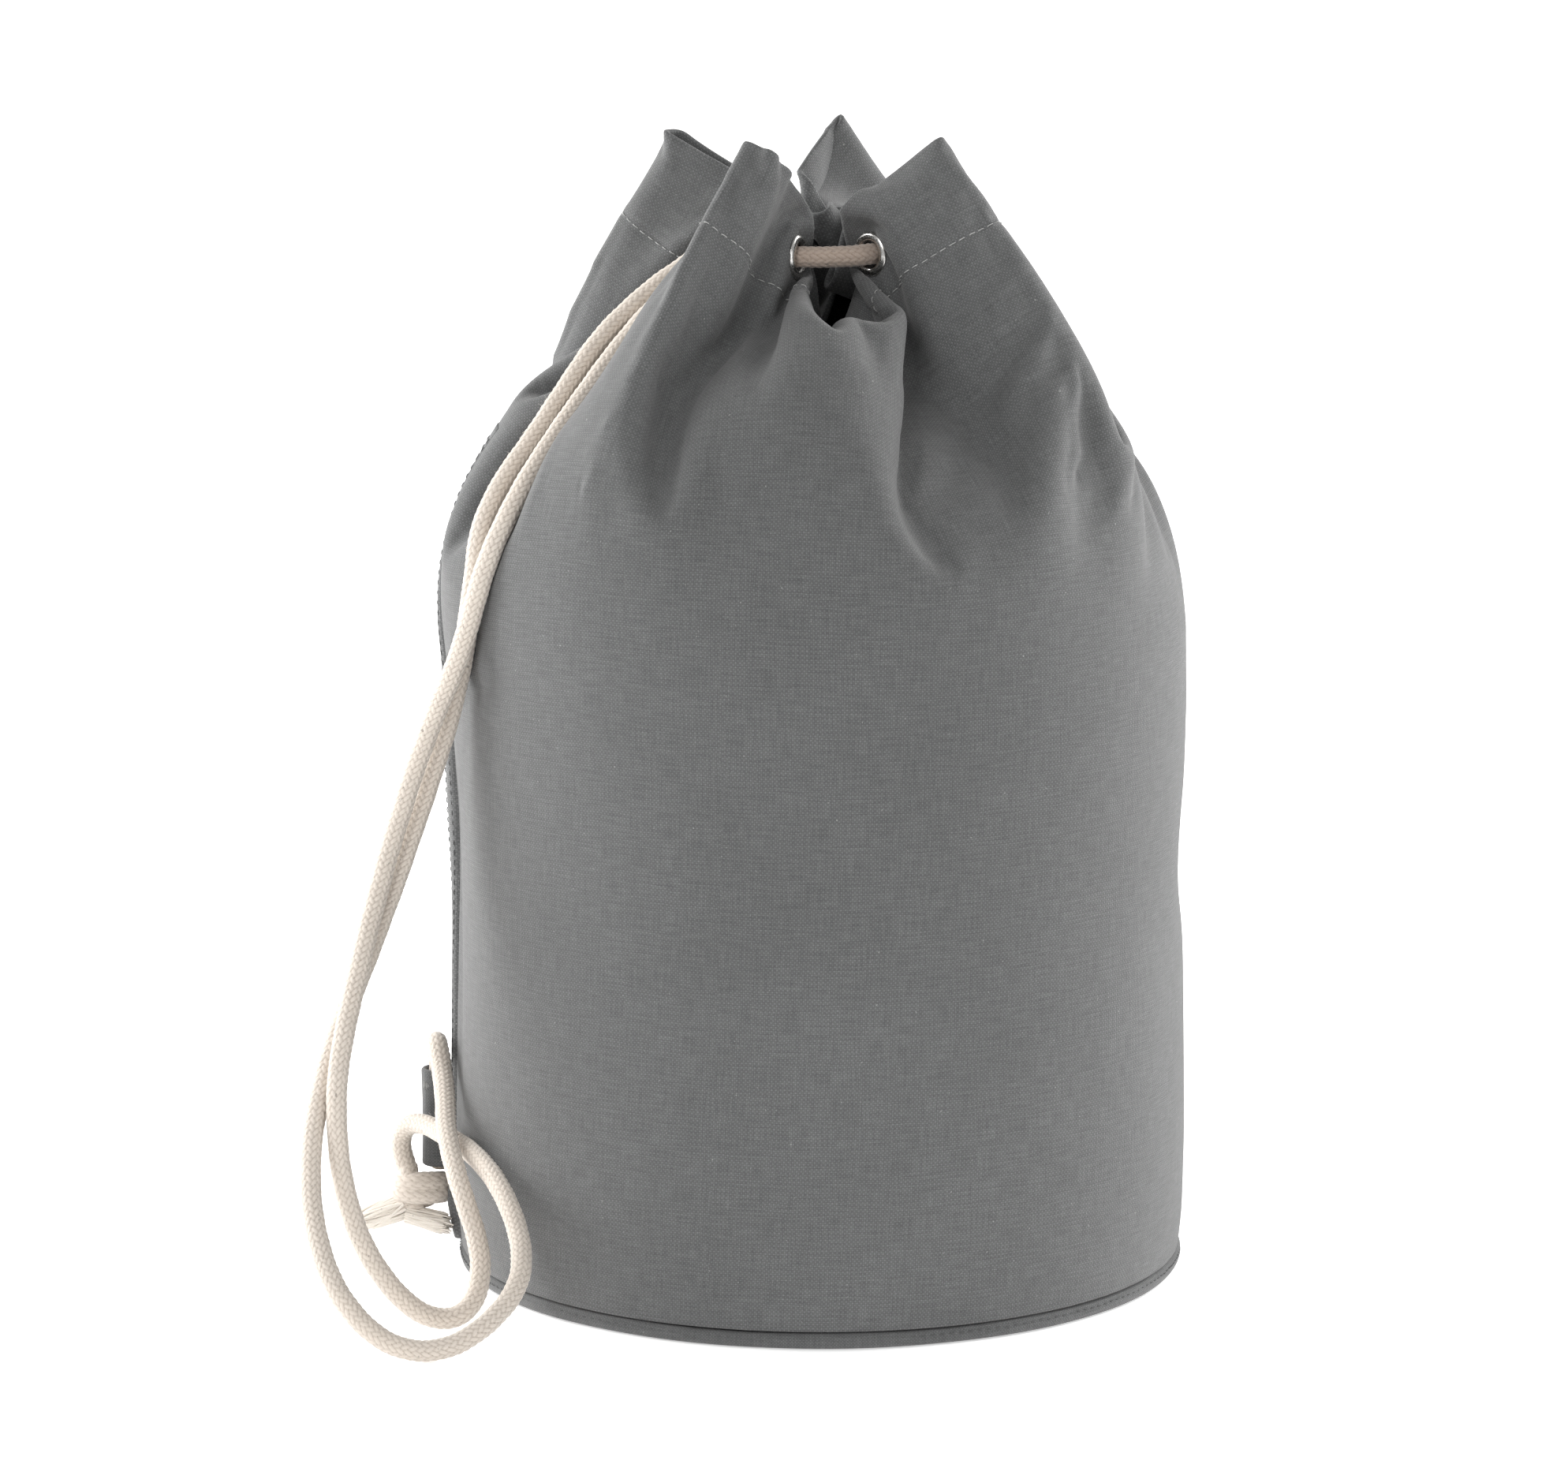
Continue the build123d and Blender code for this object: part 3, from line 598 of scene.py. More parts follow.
def canvas_material(name, base, pitch=0.80, worn=False):
    t = Tree(name)
    u, v = t.uv()
    place = t.put("ShaderNodeTexCoord").outputs["Object"]
    k = 1.0 / (pitch * 0.001)
    wob_u = t.noise(t.xyz(t.m("MULTIPLY", u, 30.0), t.m("MULTIPLY", v, 160.0)), 1.0, 2.0)
    wob_v = t.noise(t.xyz(t.m("MULTIPLY", u, 160.0), t.m("MULTIPLY", v, 30.0), 4.0), 1.0, 2.0)
    x = t.m("ADD", t.m("MULTIPLY", u, k), t.m("MULTIPLY", wob_u, 1.6))
    y = t.m("ADD", t.m("MULTIPLY", v, k), t.m("MULTIPLY", wob_v, 1.6))
    w = t.m("MULTIPLY", t.m("SINE", t.m("MULTIPLY", x, math.pi)), t.m("SINE", t.m("MULTIPLY", y, math.pi)))
    over = t.m("POWER", t.m("MAXIMUM", w, 0.0), 0.75)
    under = t.m("POWER", t.m("MAXIMUM", t.m("MULTIPLY", w, -1.0), 0.0), 0.75)
    # yarns are spun unevenly: thick and thin places along each one
    slub_h = t.noise(t.xyz(t.m("MULTIPLY", u, 90.0), t.m("MULTIPLY", v, 1250.0), 1.0), 1.0, 2.0, 0.6)
    slub_v = t.noise(t.xyz(t.m("MULTIPLY", u, 1250.0), t.m("MULTIPLY", v, 90.0), 7.0), 1.0, 2.0, 0.6)
    grain = t.noise(t.xyz(t.m("MULTIPLY", u, 1800.0), t.m("MULTIPLY", v, 1800.0), 3.0), 1.0, 3.0, 0.7)
    blot = t.noise(place, 14.0, 4.0, 0.6)
    broad = t.noise(place, 4.0, 2.0, 0.5)
    tone = t.m("ADD", 0.74, t.m("ADD", t.m("MULTIPLY", over, 0.50), t.m("MULTIPLY", under, 0.16)))
    tone = t.m("MULTIPLY", tone, t.span(slub_h, 0.3, 0.7, 0.86, 1.14))
    tone = t.m("MULTIPLY", tone, t.span(slub_v, 0.3, 0.7, 0.88, 1.12))
    tone = t.m("MULTIPLY", tone, t.span(grain, 0.25, 0.75, 0.86, 1.14))
    tone = t.m("MULTIPLY", tone, t.span(blot, 0.3, 0.7, 0.95, 1.05))
    tone = t.m("MULTIPLY", tone, t.span(broad, 0.3, 0.7, 0.95, 1.05))
    colour = t.mix(1.0, base, t.xyz(tone, tone, tone), "MULTIPLY")
    # pale neps and lint
    neps = t.noise(t.xyz(t.m("MULTIPLY", u, 620.0), t.m("MULTIPLY", v, 620.0), 11.0), 1.0, 1.0, 0.5)
    colour = t.mix(t.span(neps, 0.765, 0.80, 0.0, 0.55), colour, (0.36, 0.36, 0.35))
    t.give(t.bsdf.inputs["Base Color"], colour)
    t.give(t.bsdf.inputs["Roughness"], t.span(grain, 0.2, 0.8, 0.82, 0.98))
    t.bsdf.inputs["Specular IOR Level"].default_value = 0.25
    t.bsdf.inputs["Sheen Weight"].default_value = 0.22
    t.bsdf.inputs["Sheen Roughness"].default_value = 0.45
    t.bsdf.inputs["Sheen Tint"].default_value = (1.0, 0.985, 0.97, 1.0)
    high = t.m("ADD", t.m("ADD", over, t.m("MULTIPLY", under, 0.75)), t.m("MULTIPLY", t.m("ADD", slub_h, slub_v), 0.5))
    fine = t.bump(t.m("ADD", high, t.m("MULTIPLY", grain, 0.35)), 0.75, 0.00016)
    soft = t.bump(t.noise(place, 46.0, 3.0, 0.6), 0.35, 0.0012, fine)
    t.give(t.bsdf.inputs["Normal"], soft)
    return t.mat


def cotton_material(name, main, crevice_shade_colour, yarns=12.0, pitch=2.9, braided=True):
    t = Tree(name)
    u, v = t.uv()
    place = t.put("ShaderNodeTexCoord").outputs["Object"]
    h = t.put("ShaderNodeAttribute", attribute_name="high").outputs["Fac"]
    fuzz = t.noise(place, 2400.0, 3.0, 0.7)
    patch = t.noise(place, 90.0, 3.0, 0.6)
    broad = t.noise(place, 16.0, 2.0, 0.5)
    # the low places between the yarns take the darker colour: painted shade in the crevices, on top of the modelled
    # relief
    colour = t.mix(t.span(h, 0.05, 0.75, 0.0, 1.0), crevice_shade_colour, main)
    colour = t.mix(t.span(patch, 0.35, 0.75, 0.0, 0.28), colour, tuple(c * 0.80 for c in main))
    colour = t.mix(t.span(broad, 0.3, 0.7, 0.0, 0.20), colour, (main[0] * 0.93, main[1] * 0.86, main[2] * 0.80))
    fleck = t.noise(place, 420.0, 2.0, 0.5)
    colour = t.mix(t.span(fleck, 0.70, 0.76, 0.0, 0.60), colour, (0.20, 0.17, 0.15))
    t.give(t.bsdf.inputs["Base Color"], colour)
    t.bsdf.inputs["Roughness"].default_value = 0.93
    t.bsdf.inputs["Specular IOR Level"].default_value = 0.2
    t.bsdf.inputs["Sheen Weight"].default_value = 0.35
    t.bsdf.inputs["Sheen Roughness"].default_value = 0.5
    t.bsdf.inputs["Subsurface Weight"].default_value = 0.0
    high = t.m("MULTIPLY", fuzz, 0.6)
    if braided:
        # the threads of each yarn lie along it
        w = t.m("DIVIDE", v, pitch * 0.001)
        a = t.m("ADD", t.m("MULTIPLY", u, yarns), w)
        b = t.m("SUBTRACT", t.m("MULTIPLY", u, yarns), w)
        la = t.m("ABSOLUTE", t.m("SINE", t.m("MULTIPLY", a, math.pi * 3)))
        lb = t.m("ABSOLUTE", t.m("SINE", t.m("MULTIPLY", b, math.pi * 3)))
        i, j = t.m("FLOOR", a), t.m("FLOOR", b)
        par = t.m("LESS_THAN", t.m("FLOORED_MODULO", t.m("ADD", i, j), 4.0), 1.5)
        line = t.m("ADD", t.m("MULTIPLY", la, par), t.m("MULTIPLY", lb, t.m("SUBTRACT", 1.0, par)))
        high = t.m("ADD", high, t.m("MULTIPLY", line, 0.5))
    t.give(t.bsdf.inputs["Normal"], t.bump(high, 0.7, 0.00018))
    return t.mat


def metal_material(name):
    t = Tree(name)
    place = t.put("ShaderNodeTexCoord").outputs["Object"]
    t.bsdf.inputs["Metallic"].default_value = 1.0
    n = t.noise(place, 900.0, 4.0, 0.7)
    t.give(t.bsdf.inputs["Base Color"], t.mix(t.span(n, 0.3, 0.7, 0.0, 0.5), (0.70, 0.69, 0.67), (0.55, 0.53, 0.50)))
    t.give(t.bsdf.inputs["Roughness"], t.span(n, 0.3, 0.7, 0.16, 0.34))
    t.give(t.bsdf.inputs["Normal"], t.bump(t.noise(place, 300.0, 2.0), 0.12, 0.0002))
    return t.mat


def thread_material(name, c):
    t = Tree(name)
    place = t.put("ShaderNodeTexCoord").outputs["Object"]
    n = t.noise(place, 1800.0, 3.0, 0.7)
    t.give(t.bsdf.inputs["Base Color"], t.mix(t.span(n, 0.3, 0.7, 0.0, 1.0), c, tuple(x * 0.7 for x in c)))
    t.bsdf.inputs["Roughness"].default_value = 0.8
    t.give(t.bsdf.inputs["Normal"], t.bump(n, 0.5, 0.0001))
    return t.mat


GREY = (0.128, 0.130, 0.130)
CANVAS = canvas_material("canvas_weave", GREY)
TAPE = canvas_material("tape_weave", tuple(c * 0.95 for c in GREY), 0.62)
# the second colour of each cord material is painted shade for the crevices between its yarns
COTTON = cotton_material("cotton_braid", (0.70, 0.635, 0.565), (0.31, 0.245, 0.19))
# a darker, browner copy of the same cord for its run through the neck: painted shade
COTTON_SHADED = cotton_material("cotton_braid_painted_shade", (0.46, 0.375, 0.315), (0.22, 0.165, 0.125))
FIBRE = cotton_material("cotton_fibre", (0.82, 0.77, 0.70), (0.62, 0.55, 0.47), braided=False)
NICKEL = metal_material("nickel_plate")
THREAD = thread_material("pale_thread", (0.46, 0.46, 0.45))
THREAD_DARK = thread_material("grey_thread", (0.10, 0.10, 0.10))


# ------------------------------------------------------------------ meshes
def mesh(name, V, F, mat, uv=None, uv_loops=None, high=None, smooth=True):
    """V in mm"""
    V, F = np.asarray(V, float) / 1000.0, np.asarray(F, np.int32)
    me = bpy.data.meshes.new(name)
    me.vertices.add(len(V))
    me.vertices.foreach_set("co", V.astype(np.float32).ravel())
    me.loops.add(F.size)
    me.loops.foreach_set("vertex_index", F.ravel())
    me.polygons.add(len(F))
    me.polygons.foreach_set("loop_start", np.arange(0, F.size, F.shape[1], dtype=np.int32))
    me.update(calc_edges=True)
    me.polygons.foreach_set("use_smooth", np.full(len(F), smooth))
    if uv is not None:
        uv_loops = np.asarray(uv)[F.ravel()]
    if uv_loops is not None:
        me.uv_layers.new(name="UVMap").data.foreach_set("uv", np.asarray(uv_loops, np.float32).ravel())
    if high is not None:
        me.attributes.new("high", "FLOAT", "POINT").data.foreach_set("value", np.asarray(high, np.float32))
    me.materials.append(mat)
    ob = bpy.data.objects.new(name, me)
    scene.collection.objects.link(ob)
    return ob


def frames(line):
    line = np.asarray(line, float)
    T = np.gradient(line, axis=0)
    T /= np.linalg.norm(T, axis=1)[:, None] + 1e-12
    N = np.zeros_like(T)
    n = np.cross(T[0], [0.0, 0.0, 1.0])
    if np.linalg.norm(n) < 1e-3:
        n = np.cross(T[0], [0.0, 1.0, 0.0])
    n /= np.linalg.norm(n)
    for k in range(len(T)):
        n = n - T[k] * (n @ T[k])
        n /= np.linalg.norm(n) + 1e-12
        N[k] = n
    return T, N, np.cross(T, N)


def braid_height(u, s, yarns=12.0, pitch=2.9):
    """how far each place of the braid stands out, 0 to 1: yarns over two, under two"""
    w = s / pitch
    a, b = u * yarns + w, u * yarns - w
    i, j = np.floor(a), np.floor(b)
    top = np.mod(i + j, 4) < 1.5
    fa, fb = a - i, b - j
    cross = np.where(top, fa, fb)
    run = np.where(top, np.mod(b + i, 4) / 2, (np.mod(a + j, 4) - 2) / 2)
    c = np.sqrt(np.clip(1 - (2 * cross - 1) ** 2 * 0.92, 0, 1))
    l = 0.35 + 0.65 * (1 - np.abs(2 * np.clip(run, 0, 1) - 1) ** 3)
    return c * l


def tube(name, line, radius, mat, around=48, step=0.45, braided=True, relief=0.55, close=True, squash=None, wobble=0.10):
    """a cord along the line, in mm"""
    P, s = resample(line, step)
    T, N, B = frames(P)
    th = np.arange(around) / around
    ss, uu = np.meshgrid(s, th, indexing="ij")
    h = braid_height(uu, ss) if braided else 0.5 + 0.5 * np.cos(2 * np.pi * (uu * 3 + ss / 1.6))
    r = radius - relief * (1 - h)
    r = r + wobble * np.sin(ss / 7.3 + 2.1) * np.sin(ss / 2.9 + 6.28 * uu) + wobble * 0.5 * np.sin(ss / 23.0)
    if close:
        edge = np.minimum(s, s[-1] - s)[:, None]
        r = r * np.sqrt(np.clip(1 - (1 - np.clip(edge / (radius * 0.5), 0, 1)) ** 2, 0.0004, 1))
    c, q = np.cos(2 * np.pi * uu)[..., None], np.sin(2 * np.pi * uu)[..., None]
    V = P[:, None] + (N[:, None] * c + B[:, None] * q) * r[..., None]
    n, m = len(s), around
    i, j = np.meshgrid(np.arange(n - 1), np.arange(m), indexing="ij")
    jn = (j + 1) % m
    F = np.stack([i * m + j, i * m + jn, (i + 1) * m + jn, (i + 1) * m + j], -1).reshape(-1, 4)
    uvl = np.stack([np.stack([j / m, s[i] / 1000], -1), np.stack([(j + 1) / m, s[i] / 1000], -1),
                    np.stack([(j + 1) / m, s[i + 1] / 1000], -1), np.stack([j / m, s[i + 1] / 1000], -1)], -2).reshape(-1, 2)
    return mesh(name, V.reshape(-1, 3), F, mat, uv_loops=uvl, high=h.ravel())


def fibres(name, lines, radii, mat, sides=5):
    """many thin threads as one mesh; each line is (k, 3) with the same k"""
    L = np.asarray(lines, float)
    n, k, _ = L.shape
    T = np.gradient(L, axis=1)
    T /= np.linalg.norm(T, axis=2)[..., None] + 1e-12
    ref = np.array([0.31, 0.87, 0.38])
    N = np.cross(T, ref)
    N /= np.linalg.norm(N, axis=2)[..., None] + 1e-12
    B = np.cross(T, N)
    th = 2 * np.pi * np.arange(sides) / sides
    taper = np.ones(k)
    taper[-1] = 0.35
    r = (np.asarray(radii, float)[:, None] * taper[None])[..., None, None]
    V = L[:, :, None] + (N[:, :, None] * np.cos(th)[None, None, :, None] + B[:, :, None] * np.sin(th)[None, None, :, None]) * r
    base = (np.arange(n) * k * sides)[:, None, None]
    i, j = np.meshgrid(np.arange(k - 1), np.arange(sides), indexing="ij")
    jn = (j + 1) % sides
    q = np.stack([i * sides + j, i * sides + jn, (i + 1) * sides + jn, (i + 1) * sides + j], -1).reshape(1, -1, 4)
    F = (q + base).reshape(-1, 4)
    caps = []
    if sides == 4:
        for ring in (0, k - 1):
            f = ring * sides + (np.arange(4) if ring else np.arange(4)[::-1])
            caps.append((f[None, None] + base).reshape(-1, 4))
    F = np.concatenate([F] + caps)
    V = V.reshape(-1, 3)
    return mesh(name, V, F, mat, uv=np.zeros((len(V), 2)), high=np.full(len(V), 0.8))


def cord_fuzz(name, line, per_mm, radius=3.9):
    P, s = resample(line, 1.0)
    T, N, B = frames(P)
    n = int(length_of(line) * per_mm)
    k = rng.integers(4, len(P) - 4, n)
    th = rng.uniform(0, 2 * np.pi, n)
    out = N[k] * np.cos(th)[:, None] + B[k] * np.sin(th)[:, None]
    side = np.cross(T[k], out)
    a = P[k] + T[k] * rng.uniform(-0.5, 0.5, n)[:, None] + out * (radius - 0.35)
    lean = rng.normal(0, 0.9, n)[:, None]
    turn = rng.normal(0, 0.8, n)[:, None]
    size = rng.gamma(3.0, 0.28, n)[:, None]
    d1 = out * 0.9 + T[k] * lean + side * turn
    d1 /= np.linalg.norm(d1, axis=1)[:, None]
    d2 = d1 + rng.normal(0, 0.5, (n, 3)) - out * 0.3
    d2 /= np.linalg.norm(d2, axis=1)[:, None]
    L = np.stack([a, a + d1 * size * 0.5, a + d1 * size * 0.5 + d2 * size * 0.5], 1)
    return fibres(name, L, rng.uniform(0.028, 0.05, n), FIBRE, sides=3)


# the cord itself, at once after its routes
fine = 0.45
inner = tube("inner_strand_braid", INNER_LINE, 4.0, COTTON, 48, fine)
outer = tube("outer_strand_braid", OUTER_LINE, 4.0, COTTON, 48, fine)
# the run through the neck takes the darker copy of the cord: painted shade
ring = tube("neck_run_braid", RING_LINE, 4.0, COTTON_SHADED, 48, fine, close=False)
inner_fuzz = cord_fuzz("inner_strand_fuzz", INNER_LINE, 5.0)
outer_fuzz = cord_fuzz("outer_strand_fuzz", OUTER_LINE, 5.0)
ring_fuzz = cord_fuzz("neck_run_fuzz", RING_LINE, 5.0)

# ------------------------------------------------------------------- cloth
cloth = gather_cloth(3)
G = cloth.X.reshape(cloth.nv, cloth.nu, 3)
G = finer(G)
nv, nu = G.shape[:2]
FU = CIRC * np.arange(nu) / nu + U0
FV = VTOT * np.arange(nv) / (nv - 1)

# slack creases and dents that the packing leaves in the body
def dent(u, v, su, sv, depth, tilt=0.0):
    du = (FU[None, :] - u + CIRC / 2) % CIRC - CIRC / 2
    dv = FV[:, None] - v
    a = du * math.cos(tilt) + dv * math.sin(tilt)
    b = -du * math.sin(tilt) + dv * math.cos(tilt)
    return -depth * np.exp(-(a / su) ** 2 - (b / sv) ** 2)


rad = np.hypot(G[..., 0], G[..., 1])
out = np.zeros_like(G)
out[..., :2] = G[..., :2] / rad[..., None]
body = np.clip((300 - FV) / 40, 0, 1)[:, None] * np.clip((FV - 2) / 18, 0, 1)[:, None]
D = np.zeros((nv, nu))
D += dent(-205, 150, 7, 90, 1.8, 0.10)           # the soft crease down the left of the front
D += dent(-172, 150, 16, 80, -0.9, 0.10)
D += dent(214, 150, 24, 20, 3.6, 0.2)             # a dent in the right side
D += dent(-95, 14, 16, 9, 1.5, 0.5)
D += dent(150, 60, 60, 40, -0.7)
for k in range(26):
    D += dent(rng.uniform(0, CIRC), rng.uniform(20, 270), rng.uniform(10, 40), rng.uniform(14, 60), rng.normal(0, 0.5), rng.uniform(-0.6, 0.6))
G = G + out * (D * body)[..., None]


def face_normals(G):
    gu = np.roll(G, -1, 1) - np.roll(G, 1, 1)
    gv = np.empty_like(G)
    gv[1:-1] = G[2:] - G[:-2]
    gv[0], gv[-1] = G[1] - G[0], G[-1] - G[-2]
    n = np.cross(gu, gv)
    return n / (np.linalg.norm(n, axis=2)[..., None] + 1e-9)


NRM = face_normals(G)
for _ in range(2):
    NRM[1:-1] = (NRM[1:-1] * 2 + NRM[2:] + NRM[:-2]) / 4
    NRM = (NRM * 2 + np.roll(NRM, 1, 1) + np.roll(NRM, -1, 1)) / 4
    NRM /= np.linalg.norm(NRM, axis=2)[..., None] + 1e-9


def on_cloth(u, v, lift=0.0):
    """places on the cloth's middle surface, lifted outwards; and the normals there"""
    u, v = np.asarray(u, float), np.asarray(v, float)
    fu = ((u - U0) % CIRC) / (CIRC / nu)
    fv = np.clip(v / (VTOT / (nv - 1)), 0, nv - 1.0001)
    j, i = np.floor(fu).astype(int) % nu, np.floor(fv).astype(int)
    a, b = (fu - np.floor(fu))[..., None], (fv - i)[..., None]
    jn = (j + 1) % nu
    mix = lambda A: A[i, j] * (1 - a) * (1 - b) + A[i, jn] * a * (1 - b) + A[i + 1, j] * (1 - a) * b + A[i + 1, jn] * a * b
    P, N = mix(G), mix(NRM)
    N = N / np.linalg.norm(N, axis=-1)[..., None]
    return P + N * np.asarray(lift)[..., None], N


def canvas_shell():
    half = 0.6
    hem = np.clip((FV - V_HEM + 1.2) / 2.4, 0, 1)[:, None, None]
    # the stitching draws the hem in a little
    pinch = 0.35 * np.exp(-((FV - V_HEM) / 1.6) ** 2)[:, None, None]
    outer_s = G + NRM * (half - pinch)
    inner_s = G - NRM * (half + 1.1 * hem - pinch)
    # a rounded rim over the folded hem
    rim = []
    up = G[-1] - G[-3]
    up /= np.linalg.norm(up, axis=1)[:, None]
    for t in (0.25, 0.5, 0.75):
        a = math.pi * t
        mid = (outer_s[-1] + inner_s[-1]) / 2
        arm = (outer_s[-1] - inner_s[-1]) / 2
        rim.append(mid + arm * math.cos(a) + up * (math.sin(a) * 0.9))
    rows = [outer_s[k] for k in range(nv)] + rim + [inner_s[k] for k in range(nv - 1, -1, -1)]
    vrow = list(FV) + [VTOT + 0.4, VTOT + 0.9, VTOT + 1.4] + [2 * VTOT + 1.8 - FV[k] for k in range(nv - 1, -1, -1)]
    R = np.array(rows)
    vrow = np.array(vrow)
    n = len(R)
    i, j = np.meshgrid(np.arange(n), np.arange(nu), indexing="ij")
    inx = (i + 1) % n            # the last strip closes the cut edge at the base
    jn = (j + 1) % nu
    keep = np.ones((n, nu), bool)
    uc = FU + CIRC / nu / 2
    vc = (FV[:-1] + FV[1:]) / 2
    hole = np.zeros((nv - 1, nu), bool)
    for k, (u, f, side) in EYES.items():
        du = (uc - u + CIRC / 2) % CIRC - CIRC / 2
        hole |= np.hypot(du[None, :], vc[:, None] - V_EYE) < 6.3
    keep[:nv - 1] &= ~hole
    keep[nv + 3:nv + 3 + nv - 1] &= ~hole[::-1]
    # the edge of each hole, from the outer face to the inner one
    face = lambda k: 2 * nv + 2 - k
    walls = []
    for r, c in zip(*np.where(hole)):
        cn = (c + 1) % nu
        if not hole[r, (c - 1) % nu]:
            walls.append((r * nu + c, (r + 1) * nu + c, face(r + 1) * nu + c, face(r) * nu + c))
        if not hole[r, cn]:
            walls.append(((r + 1) * nu + cn, r * nu + cn, face(r) * nu + cn, face(r + 1) * nu + cn))
        if not hole[r - 1, c]:
            walls.append((r * nu + cn, r * nu + c, face(r) * nu + c, face(r) * nu + cn))
        if not hole[r + 1, c]:
            walls.append(((r + 1) * nu + c, (r + 1) * nu + cn, face(r + 1) * nu + cn, face(r + 1) * nu + c))
    F = np.stack([i * nu + j, i * nu + jn, inx * nu + jn, inx * nu + j], -1)
    uu = CIRC / nu * np.arange(nu + 1) + U0
    a = np.stack([uu[j], vrow[i]], -1)
    b = np.stack([uu[j + 1], vrow[i]], -1)
    top = np.where(i == n - 1, vrow[i] + 1.2, vrow[inx])
    c = np.stack([uu[j + 1], top], -1)
    d = np.stack([uu[j], top], -1)
    uvl = np.stack([a, b, c, d], -2) / 1000.0
    uvw = np.array([[((q % nu) * CIRC / nu + U0) / 1000, FV[min(q // nu, nv - 1)] / 1000 if q // nu < nv else (2 * VTOT + 1.8 - FV[2 * nv + 2 - q // nu]) / 1000]
                    for w in walls for q in w])
    return mesh("canvas", R.reshape(-1, 3), np.concatenate([F[keep], np.array(walls)]), CANVAS,
                uv_loops=np.concatenate([uvl[keep].reshape(-1, 2), uvw]))


canvas = canvas_shell()


def stitch_row(name, us, vs, lift, mat, length=3.0, gap=1.1, r=0.24, sides=4):
    """a row of thread stitches along a line on the cloth"""
    us, vs = np.asarray(us, float), np.asarray(vs, float)
    P, N = on_cloth(us, vs, lift)
    d = np.r_[0, np.cumsum(np.linalg.norm(np.diff(P, axis=0), axis=1))]
    starts = np.arange(0.5, d[-1] - length, length + gap)
    L = []
    for s in starts:
        s = s + rng.normal(0, 0.12)
        q = s + np.linspace(0, 1, 5) * (length + rng.normal(0, 0.15))
        u, v = np.interp(q, d, us), np.interp(q, d, vs) + rng.normal(0, 0.12)
        up = np.array([-0.35, 0.12, 0.2, 0.12, -0.35]) * (r / 0.24)
        L.append(on_cloth(u, v, lift + up)[0])
    L = np.array(L)
    return fibres(name, L, rng.uniform(0.85, 1.1, len(L)) * r, mat, sides)


hem_u = np.linspace(0, CIRC, 900)
hem_v = V_HEM + 0.5 * np.sin(hem_u / 37.0)
hem_stitches = stitch_row("hem_stitching", hem_u, hem_v, 0.42, THREAD)

# the side seam: a felled ridge up the left side, proud over the body and flat above
SEAM_U = (182.0 + 90.0) / 360.0 * CIRC


def ribbon(name, u0, v0, v1, half, heights, mat, swell=None, sv=2.5):
    vs = np.arange(v0, v1 + 0.01, sv)
    across = np.linspace(-1, 1, len(heights))
    rows = []
    for v in vs:
        k = 1.0 if swell is None else swell(v)
        wave = 0.35 * math.sin(v / 13.0) + 0.2 * math.sin(v / 5.1)
        rows.append((u0 + across * half + wave, np.full(len(across), v), np.array(heights) * k))
    top = np.array([on_cloth(u, v, 0.45 + h)[0] for u, v, h in rows])
    low = np.array([on_cloth(u, v, np.full(len(across), 0.30))[0] for u, v, h in rows])
    m, n = len(across), len(vs)
    ringed = np.concatenate([top, low[:, ::-1]], 1)
    q = 2 * m
    i, j = np.meshgrid(np.arange(n - 1), np.arange(q), indexing="ij")
    jn = (j + 1) % q
    F = np.stack([i * q + j, i * q + jn, (i + 1) * q + jn, (i + 1) * q + j], -1).reshape(-1, 4)
    ends = []
    for row, flip in ((0, False), (n - 1, True)):
        for j in range(m - 1):
            f = [row * q + j, row * q + q - 1 - j, row * q + q - 2 - j, row * q + j + 1]
            ends.append(f[::-1] if flip else f)
    F = np.concatenate([F, np.array(ends)])
    uu = np.concatenate([u0 + across * half, (u0 + across * half)[::-1]])
    uv = np.stack([np.tile(uu, n), np.repeat(vs, q)], -1) / 1000
    return mesh(name, ringed.reshape(-1, 3), F, mat, uv=uv)


def seam_swell(v):
    low = 1.0 + 0.9 * math.exp(-((v - 16) / 9.0) ** 2) + 0.35 * math.exp(-((v - 4) / 5.0) ** 2)
    return low * (1.0 if v < 240 else max(0.28, 1 - (v - 240) / 60.0))


seam = ribbon("side_seam_fell", SEAM_U, 1.0, 322.0, 5.6, [0.0, 1.25, 1.95, 2.2, 2.25, 2.1, 1.6, 0.0], CANVAS, seam_swell)
sv = np.linspace(4, 318, 240)
seam_lift = np.array([0.45 + 2.0 * seam_swell(v) for v in sv])


def seam_stitching():
    out = []
    for off in (-3.2, 3.2):
        P, N = on_cloth(np.full(len(sv), SEAM_U + off), sv, 0.55 + np.array([1.78 * seam_swell(v) for v in sv]))
        d = np.r_[0, np.cumsum(np.linalg.norm(np.diff(P, axis=0), axis=1))]
        for s in np.arange(1.0, d[-1] - 4, 3.9):
            q = s + np.linspace(0, 2.8, 5)
            p = np.stack([np.interp(q, d, P[:, k]) for k in range(3)], 1)
            nn = np.stack([np.interp(q, d, N[:, k]) for k in range(3)], 1)
            out.append(p + nn * np.array([-0.45, 0.08, 0.15, 0.08, -0.45])[:, None])
    return fibres("side_seam_stitching", np.array(out), np.full(len(out), 0.2), THREAD_DARK, 4)


seam_stitches = seam_stitching()


